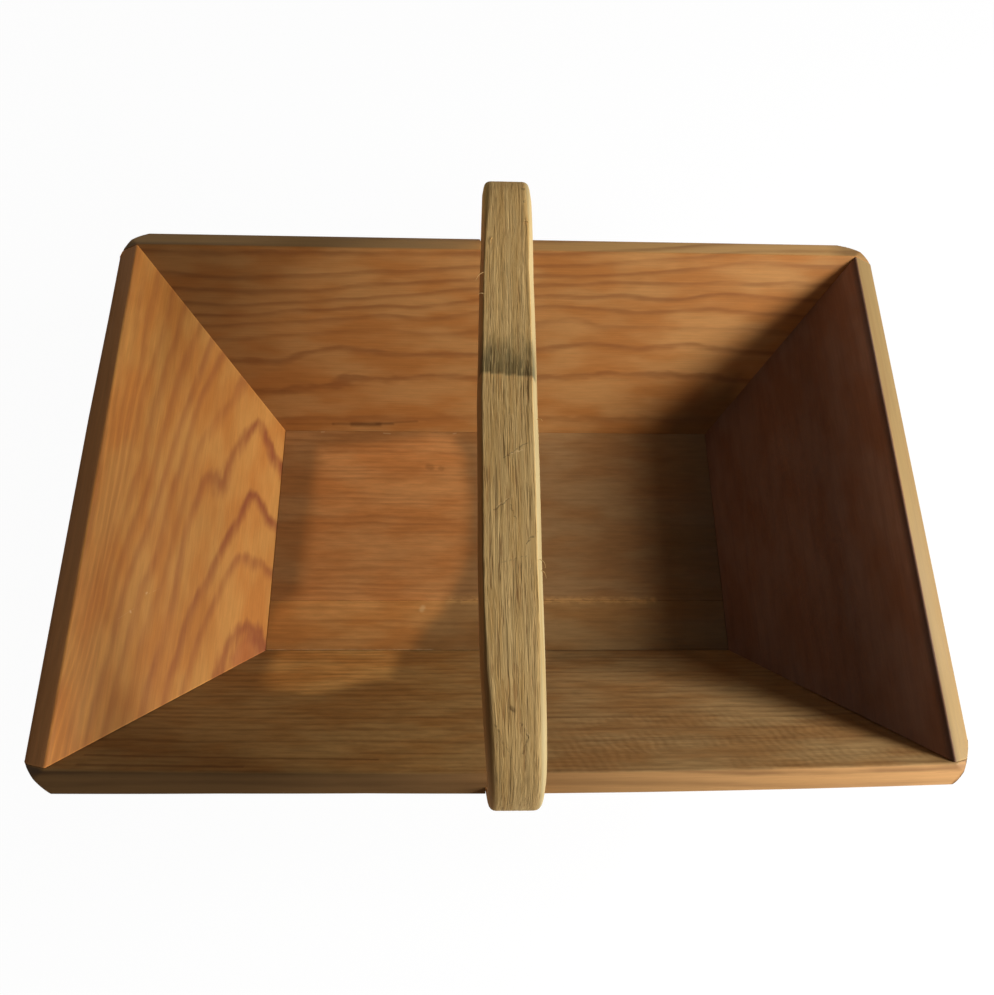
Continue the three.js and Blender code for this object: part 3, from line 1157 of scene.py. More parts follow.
    def place(self, travel: Array, across: Array, out: Array) -> Array:
        """Points in the frame from places along, across and through the strip.

        The strip's middle drifts sideways along its length, and its left half is stretched where
        its left edge bows out.

        Args:
            travel: distance from the crown along the inner face, + towards the back.
            across: place across the strip.
            out: height above the inner face.

        Returns:
            An array of points.
        """
        run, *rows = self.line()
        y, z, out_y, out_z = (np.interp(travel, run, row) for row in rows)
        left = read_profile(self.left_edge, y) * np.clip(-2.0 * across / self.width, 0.0, 1.0)
        x = across * read_profile(self.swell, travel) + read_profile(self.drift, y) - left
        return np.stack([x, y + out_y * out, z + out_z * out], -1)

    def build(self) -> None:
        """Makes the strip, dressed, in place of its solid."""
        crown = self.section(self.bevels, self.corner)
        bend = self.section(self.bend_bevels, self.bend_corner)
        run = self.line()[0]
        bent = smooth_step(*self.bend_zone, np.abs(run))[:, None, None]
        sections = crown * (1.0 - bent) + bend * bent
        across, out = sections[..., 0], sections[..., 1]
        travel = run[:, None] + np.zeros(len(crown))
        rough = self.roughness(travel, across, out)
        skin = Skin.tube(self.place(travel, across, out + rough))
        grain = np.stack([travel, across, out], -1).reshape(-1, 3)
        channels = {"grain": grain, "height": rough.ravel(), "stain": self.stain(grain)}
        channels = {label: np.concatenate([values, values[[0, -1]]]) for label, values in channels.items()}
        piece = skin.to_object("handle_bow_dressed", channels)
        settle(piece, "strip_wood", self.finish.material("handle_bow"), "handle_bow")

    def stain(self, grain: Array) -> Array:
        """A grey stain behind the crown: a sharp slanted near edge, fading towards the back.

        Args:
            grain: travel, place across and place through the strip.

        Returns:
            The stain's strength, 0 to 1.
        """
        travel, across, out = grain.T
        jag = value_noise(np.stack([across / 1.1, across * 0.0, out], -1), 51)
        edge = self.stain_start - self.stain_slant * across + 0.5 * jag
        cloud = layered_noise(grain / [9.0, 3.0, 5.0], 61)
        fade = 1.0 - smooth_step(*self.stain_fade, travel + 9.0 * cloud)
        return smooth_step(-0.5, 0.8, travel - edge) * fade * smooth_step(1.0, 6.0, out)

    def roughness(self, travel: Array, across: Array, out: Array) -> Array:
        """Height of the torn saw face: stretched noise on the outer face, fading at its edges.

        Args:
            travel: place along the strip.
            across: place across it.
            out: place through it.

        Returns:
            Height in millimetres, along the outward direction, sunk where a screw's head sits.
        """
        place = np.stack([travel, across, np.zeros_like(travel)], -1).reshape(-1, 3)
        fibres = layered_noise(place / self.fibre_cells, 11, 2)
        ridges = layered_noise(place / self.ridge_cells, 21, 2)
        tears = np.maximum(value_noise(place / self.tear_cells, 31) - self.tear_level, 0.0)
        height = self.fibre_height * fibres + self.ridge_height * ridges - self.tear_depth * tears
        half = self.width / 2.0 - max(self.bevels)
        face = smooth_step(self.thickness - 0.6, self.thickness - 0.05, out)
        face = face * smooth_step(half, half - 0.9, np.abs(across))
        size = self.lengths()
        drop = np.abs(travel) - size["crown"] - size["bend"]
        away = np.min([np.hypot(drop - screw, across) for screw in self.screw_drops()], axis=0)
        head = self.screw_head / 2.0
        bore = 1.0 - smooth_step(head - 1.1, head - 0.3, away)
        return (height.reshape(travel.shape) - self.bore_depth * bore) * face


@dataclass
class LooseFibres:
    """Torn fibres off the strip's edges: foot, bend and tip of each, along, across and through it."""

    bow: HandleBow
    finish: StripFinish
    radius: float = 0.2
    taper: float = 0.7
    steps: int = 14
    sides: int = 6
    aside: Place = (0.3, 0.2, 1.0)
    strands: tuple[tuple[Place, Place, Place], ...] = (
        ((77.0, -12.2, 8.6), (75.5, -14.6, 9.6), (70.5, -16.6, 8.8)),
        ((61.5, -12.2, 8.6), (62.0, -13.8, 9.6), (60.5, -15.0, 9.0)),
        ((-10.0, 13.6, 5.0), (-9.4, 15.4, 6.4), (-11.4, 16.0, 6.0)),
        ((-78.5, 12.6, 8.0), (-79.6, 15.6, 8.6), (-82.5, 15.2, 8.0)),
        ((-83.5, 13.4, 6.5), (-84.0, 15.4, 7.2), (-87.0, 15.6, 6.4)),
        ((118.0, 11.4, 9.0), (121.0, 8.6, 10.2), (114.5, 8.2, 9.6)),
        ((104.0, -8.6, 8.9), (101.5, -9.8, 10.0), (98.0, -9.2, 9.1)),
    )

    def build(self) -> None:
        """Makes every fibre: a round section, thinner towards the tip, along a quadratic curve."""
        material = self.finish.fibre_material("loose_fibre")
        share = np.linspace(0.0, 1.0, self.steps)
        weights = np.stack([(1.0 - share) ** 2, 2.0 * share * (1.0 - share), share**2], -1)
        angle = np.linspace(0.0, math.tau, self.sides, endpoint=False)
        radius = (self.radius * (1.0 - self.taper * share))[:, None, None]
        for i, strand in enumerate(self.strands):
            path = self.bow.place(*(weights @ np.array(strand)).T)
            heading = np.gradient(path, axis=0)
            side = unit(np.cross(heading, self.aside))
            other = unit(np.cross(heading, side))
            spoke = np.cos(angle)[:, None] * side[:, None, :] + np.sin(angle)[:, None] * other[:, None, :]
            skin = Skin.tube(path[:, None, :] + radius * spoke)
            settle(skin.to_object(f"loose_fibre_{i + 1}", {}), "strip_wood", material)


@dataclass
class Fasteners:
    """Nails through the walls and screws through the strip's legs, heads level with the wood."""

    box: BoxShape
    bow: HandleBow
    finish: SteelFinish
    nail_head: float = 3.6
    nail_shank: float = 2.2
    corner_margin: float = 26.0
    corner_bite: float = 17.0
    corner_count: int = 3
    floor_bite: float = 20.0
    long_side_count: int = 4
    long_side_pitch: float = 72.0
    screw_shank: float = 3.4
    screw_bite: float = 8.6
    sides: int = 28
    slot_rings: int = 24
    slot_sides: int = 72
    slot_edge: Point = (0.42, 0.6)
    slot_depth: float = 0.9
    screw_dome: float = 0.12

    def build(self) -> None:
        """Makes every nail and screw in place of its solid."""
        self.material = self.finish.material("fastener")
        ends = ((1, "right"), (-1, "left"))
        for long_sign, long_word in ((1, "back"), (-1, "front")):
            for end_sign, end_word in ends:
                self.corner_nails(long_sign, end_sign, f"corner_nail_{long_word}_{end_word}")
            self.floor_nails(1, long_sign, self.long_side_places(), f"floor_nail_{long_word}")
            self.screws(long_sign, f"handle_screw_{long_word}")
        for end_sign, end_word in ends:
            self.floor_nails(0, end_sign, self.end_places(), f"floor_nail_{end_word}")

    def outward(self, axis: int, sign: int) -> Array:
        """The outward direction of a wall's outer face.

        Args:
            axis: 0 for an end wall, 1 for a long wall.
            sign: 1 at the back or on the right, -1 at the front or on the left.

        Returns:
            A direction of length one.
        """
        direction = np.array([0.0, 0.0, -math.sin(self.box.splay)])
        direction[axis] = sign * math.cos(self.box.splay)
        return direction

    def corner_nails(self, long_sign: int, end_sign: int, stem: str) -> None:
        """Nails through a long wall, along the middle of an end wall's thickness.

        Args:
            long_sign: 1 at the back, -1 at the front.
            end_sign: 1 on the right, -1 on the left.
            stem: the solids' names without their numbers.
        """
        box = self.box
        face, end_face = self.outward(1, long_sign), self.outward(0, end_sign)
        drive = unit(end_face * face.dot(end_face) - face)
        length = box.wall_thickness / abs(drive.dot(face)) + self.corner_bite
        levels = np.linspace(self.corner_margin, box.rim_height - self.corner_margin, self.corner_count)
        for i, level in enumerate(levels):
            along = end_sign * (box.half_length(level) + box.wall_run / 2.0)
            out = long_sign * (box.half_width(level) + box.wall_run)
            self.nail(f"{stem}_{i + 1}", np.array([along, out, level]), drive, face, length)

    def floor_nails(self, axis: int, sign: int, places: Sequence[float], stem: str) -> None:
        """Level nails through a wall into the floor's edge.

        Args:
            axis: 0 for an end wall, 1 for a long wall.
            sign: 1 at the back or on the right, -1 at the front or on the left.
            places: places along the wall.
            stem: the solids' names without their numbers.
        """
        box = self.box
        level = box.floor_thickness / 2.0
        half = box.half_width(level) if axis else box.half_length(level)
        face, drive = self.outward(axis, sign), np.zeros(3)
        drive[axis] = -sign
        for i, along in enumerate(places):
            place = np.array([along, along, level])
            place[axis] = sign * (half + box.wall_run)
            self.nail(f"{stem}_{i + 1}", place, drive, face, box.wall_run + self.floor_bite)

    def long_side_places(self) -> Array:
        """Where a long wall's floor nails are along it: even, about its middle."""
        reach = (self.long_side_count - 1) / 2.0 * self.long_side_pitch
        return np.linspace(-reach, reach, self.long_side_count)

    def end_places(self) -> Place:
        """Where an end wall's floor nails are: one in the narrow floor board, two in the wide one."""
        half, seam = self.box.half_width(self.box.floor_thickness / 2.0), self.box.floor_seam
        return ((seam - half) / 2.0, seam + (half - seam) * 0.25, seam + (half - seam) * 0.75)

    def screws(self, sign: int, stem: str) -> None:
        """Slotted screws square through a leg of the strip, each turned its own way.

        Args:
            sign: 1 at the back, -1 at the front.
            stem: the solids' names without their numbers.
        """
        box, start = self.box, self.bow.bend_start()
        face = self.outward(1, sign)
        thick = self.bow.thickness
        for i, drop in enumerate(self.bow.screw_drops()):
            out = start[0] - drop * math.sin(box.splay) + thick * math.cos(box.splay)
            level = start[1] - drop * math.cos(box.splay) - thick * math.sin(box.splay)
            turn = 0.7 + 1.3 * i + 0.5 * sign
            self.screw(f"{stem}_{i + 1}", np.array([0.0, sign * out, level]), -face, turn)

    def turned(
        self, place: Array, drive: Array, face: Array, radius: Array, depth: Array, lift: Array
    ) -> Skin:
        """A turned skin: each ring lies at its depth along the drive, slanted to suit the face.

        Args:
            place: point on the face.
            drive: direction into the wood.
            face: the face's outward direction.
            radius: each ring's radius.
            depth: each ring's depth below the face.
            lift: height added by ring and place round it.

        Returns:
            The closed skin.
        """
        side = unit(np.cross(drive, [1.0, 0.0, 0.0] if abs(drive[0]) < 0.9 else [0.0, 0.0, 1.0]))
        other = np.cross(drive, side)
        angle = np.linspace(0.0, math.tau, lift.shape[1], endpoint=False)
        spoke = np.cos(angle)[:, None] * side + np.sin(angle)[:, None] * other
        slant = -(spoke @ face) / (drive @ face)
        ring = radius[:, None, None] * (spoke + slant[:, None] * drive)
        return Skin.tube(place + ring + (depth[:, None] - lift)[..., None] * drive)

    def nail(self, name: str, place: Array, drive: Array, face: Array, length: float) -> None:
        """A nail with a shallow domed head, level with its face.

        Args:
            name: the solid that it stands for.
            place: point on the face.
            drive: direction into the wood.
            face: the face's outward direction.
            length: the nail's length.
        """
        head, shank = self.nail_head / 2.0, self.nail_shank / 2.0
        radius = np.array([0.25, 0.7, head - 0.35, head - 0.1, head, head, shank, shank, 0.2])
        taper = length - 2.0 * self.nail_shank
        depth = np.array([-0.3, -0.27, -0.19, -0.1, 0.0, 1.6, 1.7, taper, length])
        skin = self.turned(place, drive, face, radius, depth, np.zeros((len(radius), self.sides)))
        settle(skin.to_object(name + "_dressed", {}), "steel", self.material, name)

    def screw(self, name: str, place: Array, drive: Array, turn: float) -> None:
        """A countersunk screw whose head has a slot: a trench across a fine polar grid.

        Args:
            name: the solid that it stands for.
            place: point on the strip's face.
            drive: direction into the wood.
            turn: angle of the slot.
        """
        head, shank = self.bow.screw_head / 2.0, self.screw_shank / 2.0
        length = self.bow.thickness + self.bow.leg_gap + self.screw_bite
        top = np.linspace(0.1, head - 0.1, self.slot_rings)
        radius = np.concatenate([top, [head, shank, shank, 0.3]])
        taper = length - 1.5 * self.screw_shank
        depth = np.concatenate([np.full(self.slot_rings, -self.screw_dome), [0.05, 2.4, taper, length]])
        angle = np.linspace(0.0, math.tau, self.slot_sides, endpoint=False) - turn
        trench = 1.0 - smooth_step(*self.slot_edge, np.abs(top[:, None] * np.sin(angle)))
        dome = self.screw_dome * (1.0 - (top[:, None] / head) ** 2)
        lift = np.zeros((len(radius), self.slot_sides))
        lift[: self.slot_rings] = dome - self.slot_depth * trench
        skin = self.turned(place, drive, -drive, radius, depth, lift)
        settle(skin.to_object(name + "_dressed", {}), "steel", self.material, name)


@dataclass(frozen=True)
class Mark:
    """A straight scratch, streak or fleck, from one place to another in a piece's grain places."""

    start: Place
    end: Place
    width: float
    colour: Colour
    strength: float = 0.7
    ragged: float = 0.5
    broken: float = 0.0
    blob_cells: Place = (6.0, 3.0, 3.0)

    def draw(self, graph: Graph, grain: Socket, colour: Socket, rough: Socket) -> Socket:
        """Lays the mark over a colour: full within its width of the line, nothing at twice that.

        Args:
            graph: the material's nodes.
            grain: grain places.
            colour: colour below the mark.
            rough: noise that frays the mark's edge.

        Returns:
            The colour with the mark.
        """
        run = np.subtract(self.end, self.start)
        length = float(np.linalg.norm(run))
        heading = tuple(float(x) for x in run / length)
        offset = graph.vector("SUBTRACT", grain, self.start)
        travel = graph.add("Clamp", {0: graph.dot(offset, heading), 1: 0.0, 2: length}).outputs[0]
        foot = graph.add("VectorMath", {0: heading, "Scale": travel}, operation="SCALE").outputs[0]
        aside = graph.vector("SUBTRACT", offset, foot)
        gap = graph.add("VectorMath", {0: aside}, operation="LENGTH").outputs["Value"]
        frayed = graph.math("MULTIPLY_ADD", rough, self.width * self.ragged * 2.0, gap)
        share = graph.span(frayed, self.width * 0.6, self.width * 2.0, self.strength, 0.0)
        if self.broken:
            blobs = graph.span(graph.noise(grain, self.blob_cells), 0.38, 0.58, 1.0 - self.broken, 1.0)
            share = graph.product(share, blobs)
        return graph.mix(share, colour, self.colour)


@dataclass(frozen=True)
class PineFinish:
    """Oiled pine: growth lines, fibres, resin dashes and slow changes of colour.

    A growth line is dark on the ring number's whole values: it rises softly from below and stops
    sharply above, and its width follows the ring spacing to the power 0.6. Noise cells are sizes
    along, across and into the board.
    """

    early: Colour
    warm: Colour
    late: Colour
    rim: Colour
    line_strength: float = 0.5
    line_width: float = 1.0
    line_spread: float = 0.45
    fibre_strength: float = 0.06
    tint: Colour = WHITE
    shine: float = 0.12
    roughness: float = 0.5
    ripple: float = 0.0
    ripple_pitch: float = 5.4
    mottle: float = 0.04
    marks: tuple[Mark, ...] = ()
    slow_cells: Place = (95.0, 17.0, 17.0)
    patch_cells: Place = (60.0, 22.0, 22.0)
    smudge_cells: Place = (17.0, 3.2, 3.2)
    fibre_cells: Place = (38.0, 0.95, 0.95)
    hair_cells: Place = (11.0, 0.34, 0.34)
    wobble_cells: Place = (24.0, 7.0, 7.0)
    break_cells: Place = (34.0, 6.0, 6.0)
    pale_hair: Colour = srgb(226, 182, 122)

    def material(self, name: str) -> bpy.types.Material:
        """The finish's node material.

        Args:
            name: the board's name.

        Returns:
            The material.
        """
        graph = Graph(bpy.data.materials.new(name + "_pine"))
        grain = graph.attribute("grain").outputs["Vector"]
        ring, slope, tone = graph.parts(graph.attribute("growth").outputs["Vector"])
        on_rim, gain, tinted = graph.parts(graph.attribute("rim_line_tint").outputs["Vector"])
        off_rim = graph.math("SUBTRACT", 1.0, on_rim)
        slow = graph.noise(grain, self.slow_cells)
        fibre = graph.noise(grain, self.fibre_cells, 4.0, 0.62)
        hair = graph.noise(grain, self.hair_cells)
        line = graph.product(self.growth_line(graph, grain, ring, slope, slow), gain)
        patch = graph.span(graph.noise(grain, self.patch_cells), 0.36, 0.64)
        colour = graph.mix(patch, self.early, self.warm)
        colour = graph.mix(on_rim, colour, self.rim)
        colour = graph.mix(graph.product(line, self.line_strength), colour, self.late)
        low, high = 1.0 - self.fibre_strength, 1.0 + 0.8 * self.fibre_strength
        colour = graph.shaded(colour, graph.span(fibre, 0.3, 0.7, low, high))
        smudge = graph.noise(grain, self.smudge_cells, 3.0, 0.6)
        smudge = graph.span(smudge, 0.3, 0.7, 1.0 - self.mottle, 1.0 + self.mottle)
        colour = graph.shaded(colour, smudge, off_rim)
        colour = graph.mix(graph.span(hair, 0.66, 0.76, 0.0, 0.3), colour, self.late)
        colour = graph.mix(graph.span(hair, 0.3, 0.22, 0.0, 0.12), colour, self.pale_hair)
        # The tone and the tint carry painted light and shade on some boards, besides the wood's own changes
        # of colour.
        colour = graph.tinted(tinted, graph.shaded(colour, tone), self.tint)
        for mark in self.marks:
            colour = mark.draw(graph, grain, colour, hair)
        height = graph.math("MULTIPLY_ADD", line, 0.5, fibre)
        normal = graph.bump(graph.math("MULTIPLY_ADD", hair, 0.3, height), 0.5, 0.14)
        if self.ripple:
            normal = self.planer_ripple(graph, grain, off_rim, normal)
        cloud = graph.math("ADD", fibre, slow)
        gloss = graph.span(cloud, 0.7, 1.3, self.roughness - 0.08, self.roughness + 0.12)
        surface = {"Roughness": gloss, "Specular IOR Level": self.shine, "Normal": normal}
        return graph.finish({"Base Color": colour, **surface})

    def growth_line(self, graph: Graph, grain: Socket, ring: Socket, slope: Socket, slow: Socket) -> Socket:
        """How dark a growth line is at each place, from 0 to 1.

        Args:
            graph: the material's nodes.
            grain: grain places.
            ring: ring number.
            slope: rings a millimetre.
            slow: slow noise that fades a line along its length.

        Returns:
            The darkness.
        """
        wobble = graph.noise(grain, self.wobble_cells)
        ring = graph.math("ADD", ring, graph.span(wobble, 0.15, 0.85, -0.07, 0.07))
        nearest = graph.math("ROUND", ring)
        offset = graph.math("SUBTRACT", ring, nearest)
        width = graph.math("POWER", graph.math("MAXIMUM", slope, 0.02), 0.6)
        reach = graph.math("DIVIDE", offset, graph.product(width, self.line_width))
        kind = graph.add("TexWhiteNoise", {"W": nearest}, noise_dimensions="1D").outputs["Value"]
        share = graph.math("MULTIPLY_ADD", kind, self.line_spread, 1.0 - self.line_spread)
        broken = graph.math("ADD", slow, graph.noise(grain, self.break_cells))
        fade = graph.span(broken, 0.62, 1.08, 0.38, 1.0)
        rise, fall = graph.span(reach, -1.4, -0.05), graph.span(reach, 0.0, 0.8, 1.0, 0.0)
        return graph.product(rise, fall, share, fade)

    def planer_ripple(self, graph: Graph, grain: Socket, off_rim: Socket, normal: Socket) -> Socket:
        """Shallow slanted waves left here and there by a planer, more to the right and up the board.

        Args:
            graph: the material's nodes.
            grain: grain places.
            off_rim: nothing on the rim, one off it.
            normal: the normal to tilt.

        Returns:
            The new normal.
        """
        along, up, _ = graph.parts(grain)
        travel = graph.product(graph.dot(grain, (1.0, -0.3, 0.0)), math.tau / self.ripple_pitch)
        phase = graph.math("MULTIPLY_ADD", graph.noise(grain, (24.0, 9.0, 9.0)), 9.0, travel)
        spots = graph.span(graph.noise(grain, (70.0, 20.0, 20.0)), 0.38, 0.58)
        fades = (graph.span(along, -40.0, 60.0, 0.35, 1.0), graph.span(up, 60.0, 100.0, 0.2, 1.0))
        wave = graph.product(graph.math("SINE", phase), spots, *fades, off_rim)
        return graph.bump(wave, self.ripple, 0.12, normal)


@dataclass(frozen=True)
class StripFinish:
    """Bare rough-sawn strip: straw wood with torn fibres, dark pits and one grey stain.

    Noise cells are sizes along, across and through the strip, and a line's shift moves its noise.
    """

    straw: Colour
    pale: Colour
    pit: Colour
    rust: Colour
    stain: Colour
    left_bevel_painted_shade: Colour
    right_bevel_painted_shade: Colour
    far_bevel_painted_light: Colour = (1.3, 1.4, 1.3, 1.0)
    marks: tuple[Mark, ...] = ()
    broad_cells: Place = (55.0, 3.5, 3.5)
    fibre_cells: Place = (30.0, 0.55, 0.55)
    hair_cells: Place = (12.0, 0.28, 0.28)
    groove_cells: Place = (85.0, 1.2, 3.0)
    split_cells: Place = (50.0, 0.9, 3.0)
    split_shift: Place = (90.0, 30.0, 0.0)
    whisker_cells: Place = (40.0, 0.8, 3.0)
    whisker_shift: Place = (40.0, 70.0, 0.0)
    line_width: float = 0.055
    face_from: Point = (8.5, 8.95)
    bevel_to: Point = (8.4, 8.97)
    shine: float = 0.1

    def material(self, name: str) -> bpy.types.Material:
        """The finish's node material.

        Args:
            name: the strip's name.

        Returns:
            The material.
        """
        graph = Graph(bpy.data.materials.new(name + "_strip"))
        grain = graph.attribute("grain").outputs["Vector"]
        height = graph.attribute("height").outputs["Fac"]
        travel, across, out = graph.parts(grain)
        broad = graph.noise(grain, self.broad_cells, 3.0, 0.6)
        fibre = graph.noise(grain, self.fibre_cells, 3.0, 0.6)
        hair = graph.noise(grain, self.hair_cells, 2.0, 0.55)
        face = graph.product(graph.span(out, *self.face_from), graph.span(travel, 30.0, 100.0, 1.0, 0.6))
        groove = graph.product(self.grooves(graph, grain, self.groove_cells), face)
        moved = graph.vector("ADD", grain, self.split_shift)
        split = graph.product(self.grooves(graph, moved, self.split_cells), face)
        moved = graph.vector("ADD", grain, self.whisker_shift)
        whisker = graph.product(self.grooves(graph, moved, self.whisker_cells), face)
        colour = graph.mix(graph.span(broad, 0.2, 0.8), self.straw, self.pale)
        colour = graph.shaded(colour, graph.span(fibre, 0.28, 0.72, 0.93, 1.06))
        colour = graph.mix(graph.product(split, 0.5), colour, self.rust)
        colour = graph.mix(graph.product(groove, 0.48), colour, self.pit)
        colour = graph.mix(graph.product(whisker, 0.55), colour, self.pale)
        colour = graph.mix(graph.span(hair, 0.64, 0.76, 0.0, 0.1), colour, self.pit)
        # Painted shade in the hollows: darker where the torn face sinks and in the screw bores.
        colour = graph.mix(graph.span(height, -0.07, -0.16, 0.0, 0.15), colour, self.pit)
        unstained = graph.math("MULTIPLY_ADD", whisker, -0.6, 1.0)
        stained = graph.product(graph.attribute("stain").outputs["Fac"], unstained)
        colour = graph.tinted(stained, colour, self.stain)
        # Painted shade and light on the bevels: the shaded left bevel tinted darker, lighter again on the far
        # limb, and the lit right bevel tinted darker and cooler.
        left = graph.mix(graph.span(travel, 90.0, 150.0), self.left_bevel_painted_shade, self.far_bevel_painted_light)
        side = graph.mix(graph.span(across, -1.0, 1.0), left, self.right_bevel_painted_shade)
        colour = graph.tinted(graph.span(out, *self.bevel_to, 1.0, 0.0), colour, side)
        # Painted light: the strip grows lighter towards its back end, where the far slope shows brighter.
        colour = graph.shaded(colour, graph.span(travel, -30.0, 130.0, 0.94, 1.3))
        shaken = graph.shaken(grain, 2.2, 3.2)
        for mark in self.marks:
            colour = mark.draw(graph, shaken, colour, hair)
        relief = graph.math("MULTIPLY_ADD", hair, 0.3, graph.product(fibre, 0.4))
        cuts = graph.math("MULTIPLY_ADD", split, 0.6, groove)
        relief = graph.math("MULTIPLY_ADD", cuts, -0.9, relief)
        normal = graph.bump(graph.math("MULTIPLY_ADD", whisker, 0.5, relief), 0.75, 0.2)
        gloss = graph.span(fibre, 0.2, 0.8, 0.75, 0.92)
        surface = {"Roughness": gloss, "Specular IOR Level": self.shine, "Normal": normal}
        return graph.finish({"Base Color": colour, **surface})

    def grooves(self, graph: Graph, grain: Socket, cells: Place) -> Socket:
        """Thin broken lines along the strip: where stretched noise is close to its middle value.

        Args:
            graph: the material's nodes.
            grain: grain places.
            cells: sizes of the noise's cells.

        Returns:
            How far each place is on a line, from 0 to 1.
        """
        level = graph.math("SUBTRACT", graph.noise(grain, cells), 0.5)
        gap = graph.math("ABSOLUTE", level)
        shown = graph.noise(grain, (cells[0] * 0.2, cells[1] * 1.8, 6.0))
        line = graph.span(gap, self.line_width * 0.3, self.line_width, 1.0, 0.0)
        return graph.product(line, graph.span(shown, 0.42, 0.6))

    def fibre_material(self, name: str) -> bpy.types.Material:
        """The pale finish of a fibre that stands off the strip.

        Args:
            name: the fibres' name.

        Returns:
            The material.
        """
        graph = Graph(bpy.data.materials.new(name + "_strip"))
        cloud = graph.noise(graph.object_place(), (0.8, 0.8, 0.8))
        colour = graph.mix(graph.span(cloud, 0.3, 0.7), self.straw, self.pale)
        return graph.finish({"Base Color": colour, "Roughness": 0.8, "Specular IOR Level": self.shine})


@dataclass(frozen=True)
class SteelFinish:
    """Dull steel with brown tarnish."""

    bare: Colour
    tarnish: Colour
    cloud_cells: Place = (2.6, 2.6, 2.6)
    grit_cells: Place = (0.4, 0.4, 0.4)

    def material(self, name: str) -> bpy.types.Material:
        """The finish's node material.

        Args:
            name: the fasteners' name.

        Returns:
            The material.
        """
        graph = Graph(bpy.data.materials.new(name + "_steel"))
        place = graph.object_place()
        cloud = graph.noise(place, self.cloud_cells, 4.0, 0.6)
        grit = graph.noise(place, self.grit_cells, 2.0, 0.6)
        rust = graph.span(cloud, 0.42, 0.66)
        inputs = {
            "Base Color": graph.mix(rust, self.bare, self.tarnish),
            "Metallic": graph.span(rust, 0.0, 1.0, 0.95, 0.35),
            "Roughness": graph.span(cloud, 0.3, 0.7, 0.34, 0.62),
            "Normal": graph.bump(grit, 0.4, 0.06),
        }
        return graph.finish(inputs)


@dataclass(frozen=True)
class PhotoCamera:
    """The camera that took the picture: its place, its turn and its lens."""

    place: Place = (-24.19, -194.71, 584.59)
    right: Place = (0.99925362, -0.00886554, 0.03759804)
    down: Place = (0.00544687, -0.9312466, -0.36434888)
    forward: Place = (0.0382432, 0.36428173, -0.93050324)
    focal_pixels: float = 844.26
    picture_width: float = 994.0
    sensor_width: float = 36.0

    def build(self) -> None:
        """Adds the camera and makes it the scene's own."""
        data = bpy.data.cameras.new("photo_camera")
        data.sensor_width = self.sensor_width
        data.sensor_fit = "HORIZONTAL"
        data.lens = self.focal_pixels / self.picture_width * self.sensor_width
        data.clip_start, data.clip_end = 0.01, 50.0
        camera = bpy.data.objects.new("photo_camera", data)
        bpy.context.scene.collection.objects.link(camera)
        turn = Matrix((self.right, [-x for x in self.down], [-x for x in self.forward])).transposed()
        camera.matrix_world = Matrix.Translation([x * MM for x in self.place]) @ turn.to_4x4()
        bpy.context.scene.camera = camera


@dataclass(frozen=True)
class Lamp:
    """A soft square lamp that faces the basket, placed in metres."""

    name: str
    place: Place
    power: float
    size: float
    target: Place = (0.0, 0.0, 0.1)

    def build(self) -> None:
        """Adds the lamp."""
        data = bpy.data.lights.new(self.name, "AREA")
        data.shape, data.size, data.energy = "SQUARE", self.size, self.power
        lamp = bpy.data.objects.new(self.name, data)
        bpy.context.scene.collection.objects.link(lamp)
        lamp.location = self.place
        lamp.rotation_mode = "QUATERNION"
        lamp.rotation_quaternion = (Vector(self.target) - lamp.location).to_track_quat("-Z", "Y")
        lamp.visible_camera = False


@dataclass(frozen=True)
class Studio:
    """A white floor, soft lamps and a dim white room."""

    lamps: tuple[Lamp, ...] = (
        Lamp("key", (1.0, 0.063, 0.647), 6.8, 0.24),
        Lamp("front", (0.75, -0.253, 0.432), 3.8, 0.18),
        Lamp("side", (0.4, -0.42, 0.2), 0.65, 0.18),
    )
    room: float = 0.055
    room_tint: Colour = (1.0, 0.8, 0.62, 1.0)
    floor_half: float = 4.0
    floor_colour: Colour = (0.85, 0.85, 0.85, 1.0)
    floor_glow: float = 1.03
    floor_white: float = 0.94

    def build(self) -> None:
        """Adds the floor, the lamps and the room."""
        self.floor()
        self.world()
        for lamp in self.lamps:
            lamp.build()

    def white_share(self, graph: Graph) -> Socket:
        """One where a ray comes from the camera, a reflection or a clear surface.

        Args:
            graph: the nodes of the floor or the room.

        Returns:
            The share.
        """
        path = graph.add("LightPath").outputs
        total = path["Is Camera Ray"]
        for name in ("Is Glossy Ray", "Is Transmission Ray"):
            total = graph.math("MAXIMUM", total, path[name])
        return total

    def floor(self) -> None:
        """A wide pale sheet that shows white and keeps a faint shadow."""
        half = self.floor_half
        corners = [(-half, -half, 0.0), (half, -half, 0.0), (half, half, 0.0), (-half, half, 0.0)]
        mesh = bpy.data.meshes.new("studio_floor")
        mesh.from_pydata(corners, [], [(0, 1, 2, 3)])
        sheet = bpy.data.objects.new("studio_floor", mesh)
        bpy.context.scene.collection.objects.link(sheet)
        graph = Graph(bpy.data.materials.new("studio_white"))
        matt = graph.add("BsdfDiffuse", {"Color": self.floor_colour})
        glow = graph.add("Emission", {"Color": WHITE, "Strength": self.floor_glow})
        share = graph.product(self.white_share(graph), self.floor_white)
        both = graph.add("MixShader", {0: share, 1: matt.outputs[0], 2: glow.outputs[0]})
        graph.close("OutputMaterial", both)
        mesh.materials.append(graph.owner)

    def world(self) -> None:
        """A room that lights dimly and shows white."""
        world = bpy.data.worlds.new("studio_room")
        bpy.context.scene.world = world
        graph = Graph(world)
        share = self.white_share(graph)
        level = graph.add("MapRange", {"Value": share, "To Min": self.room, "To Max": 1.0}).outputs[0]
        colour = graph.mix(share, self.room_tint, WHITE)
        graph.close("OutputWorld", graph.add("Background", {"Color": colour, "Strength": level}))


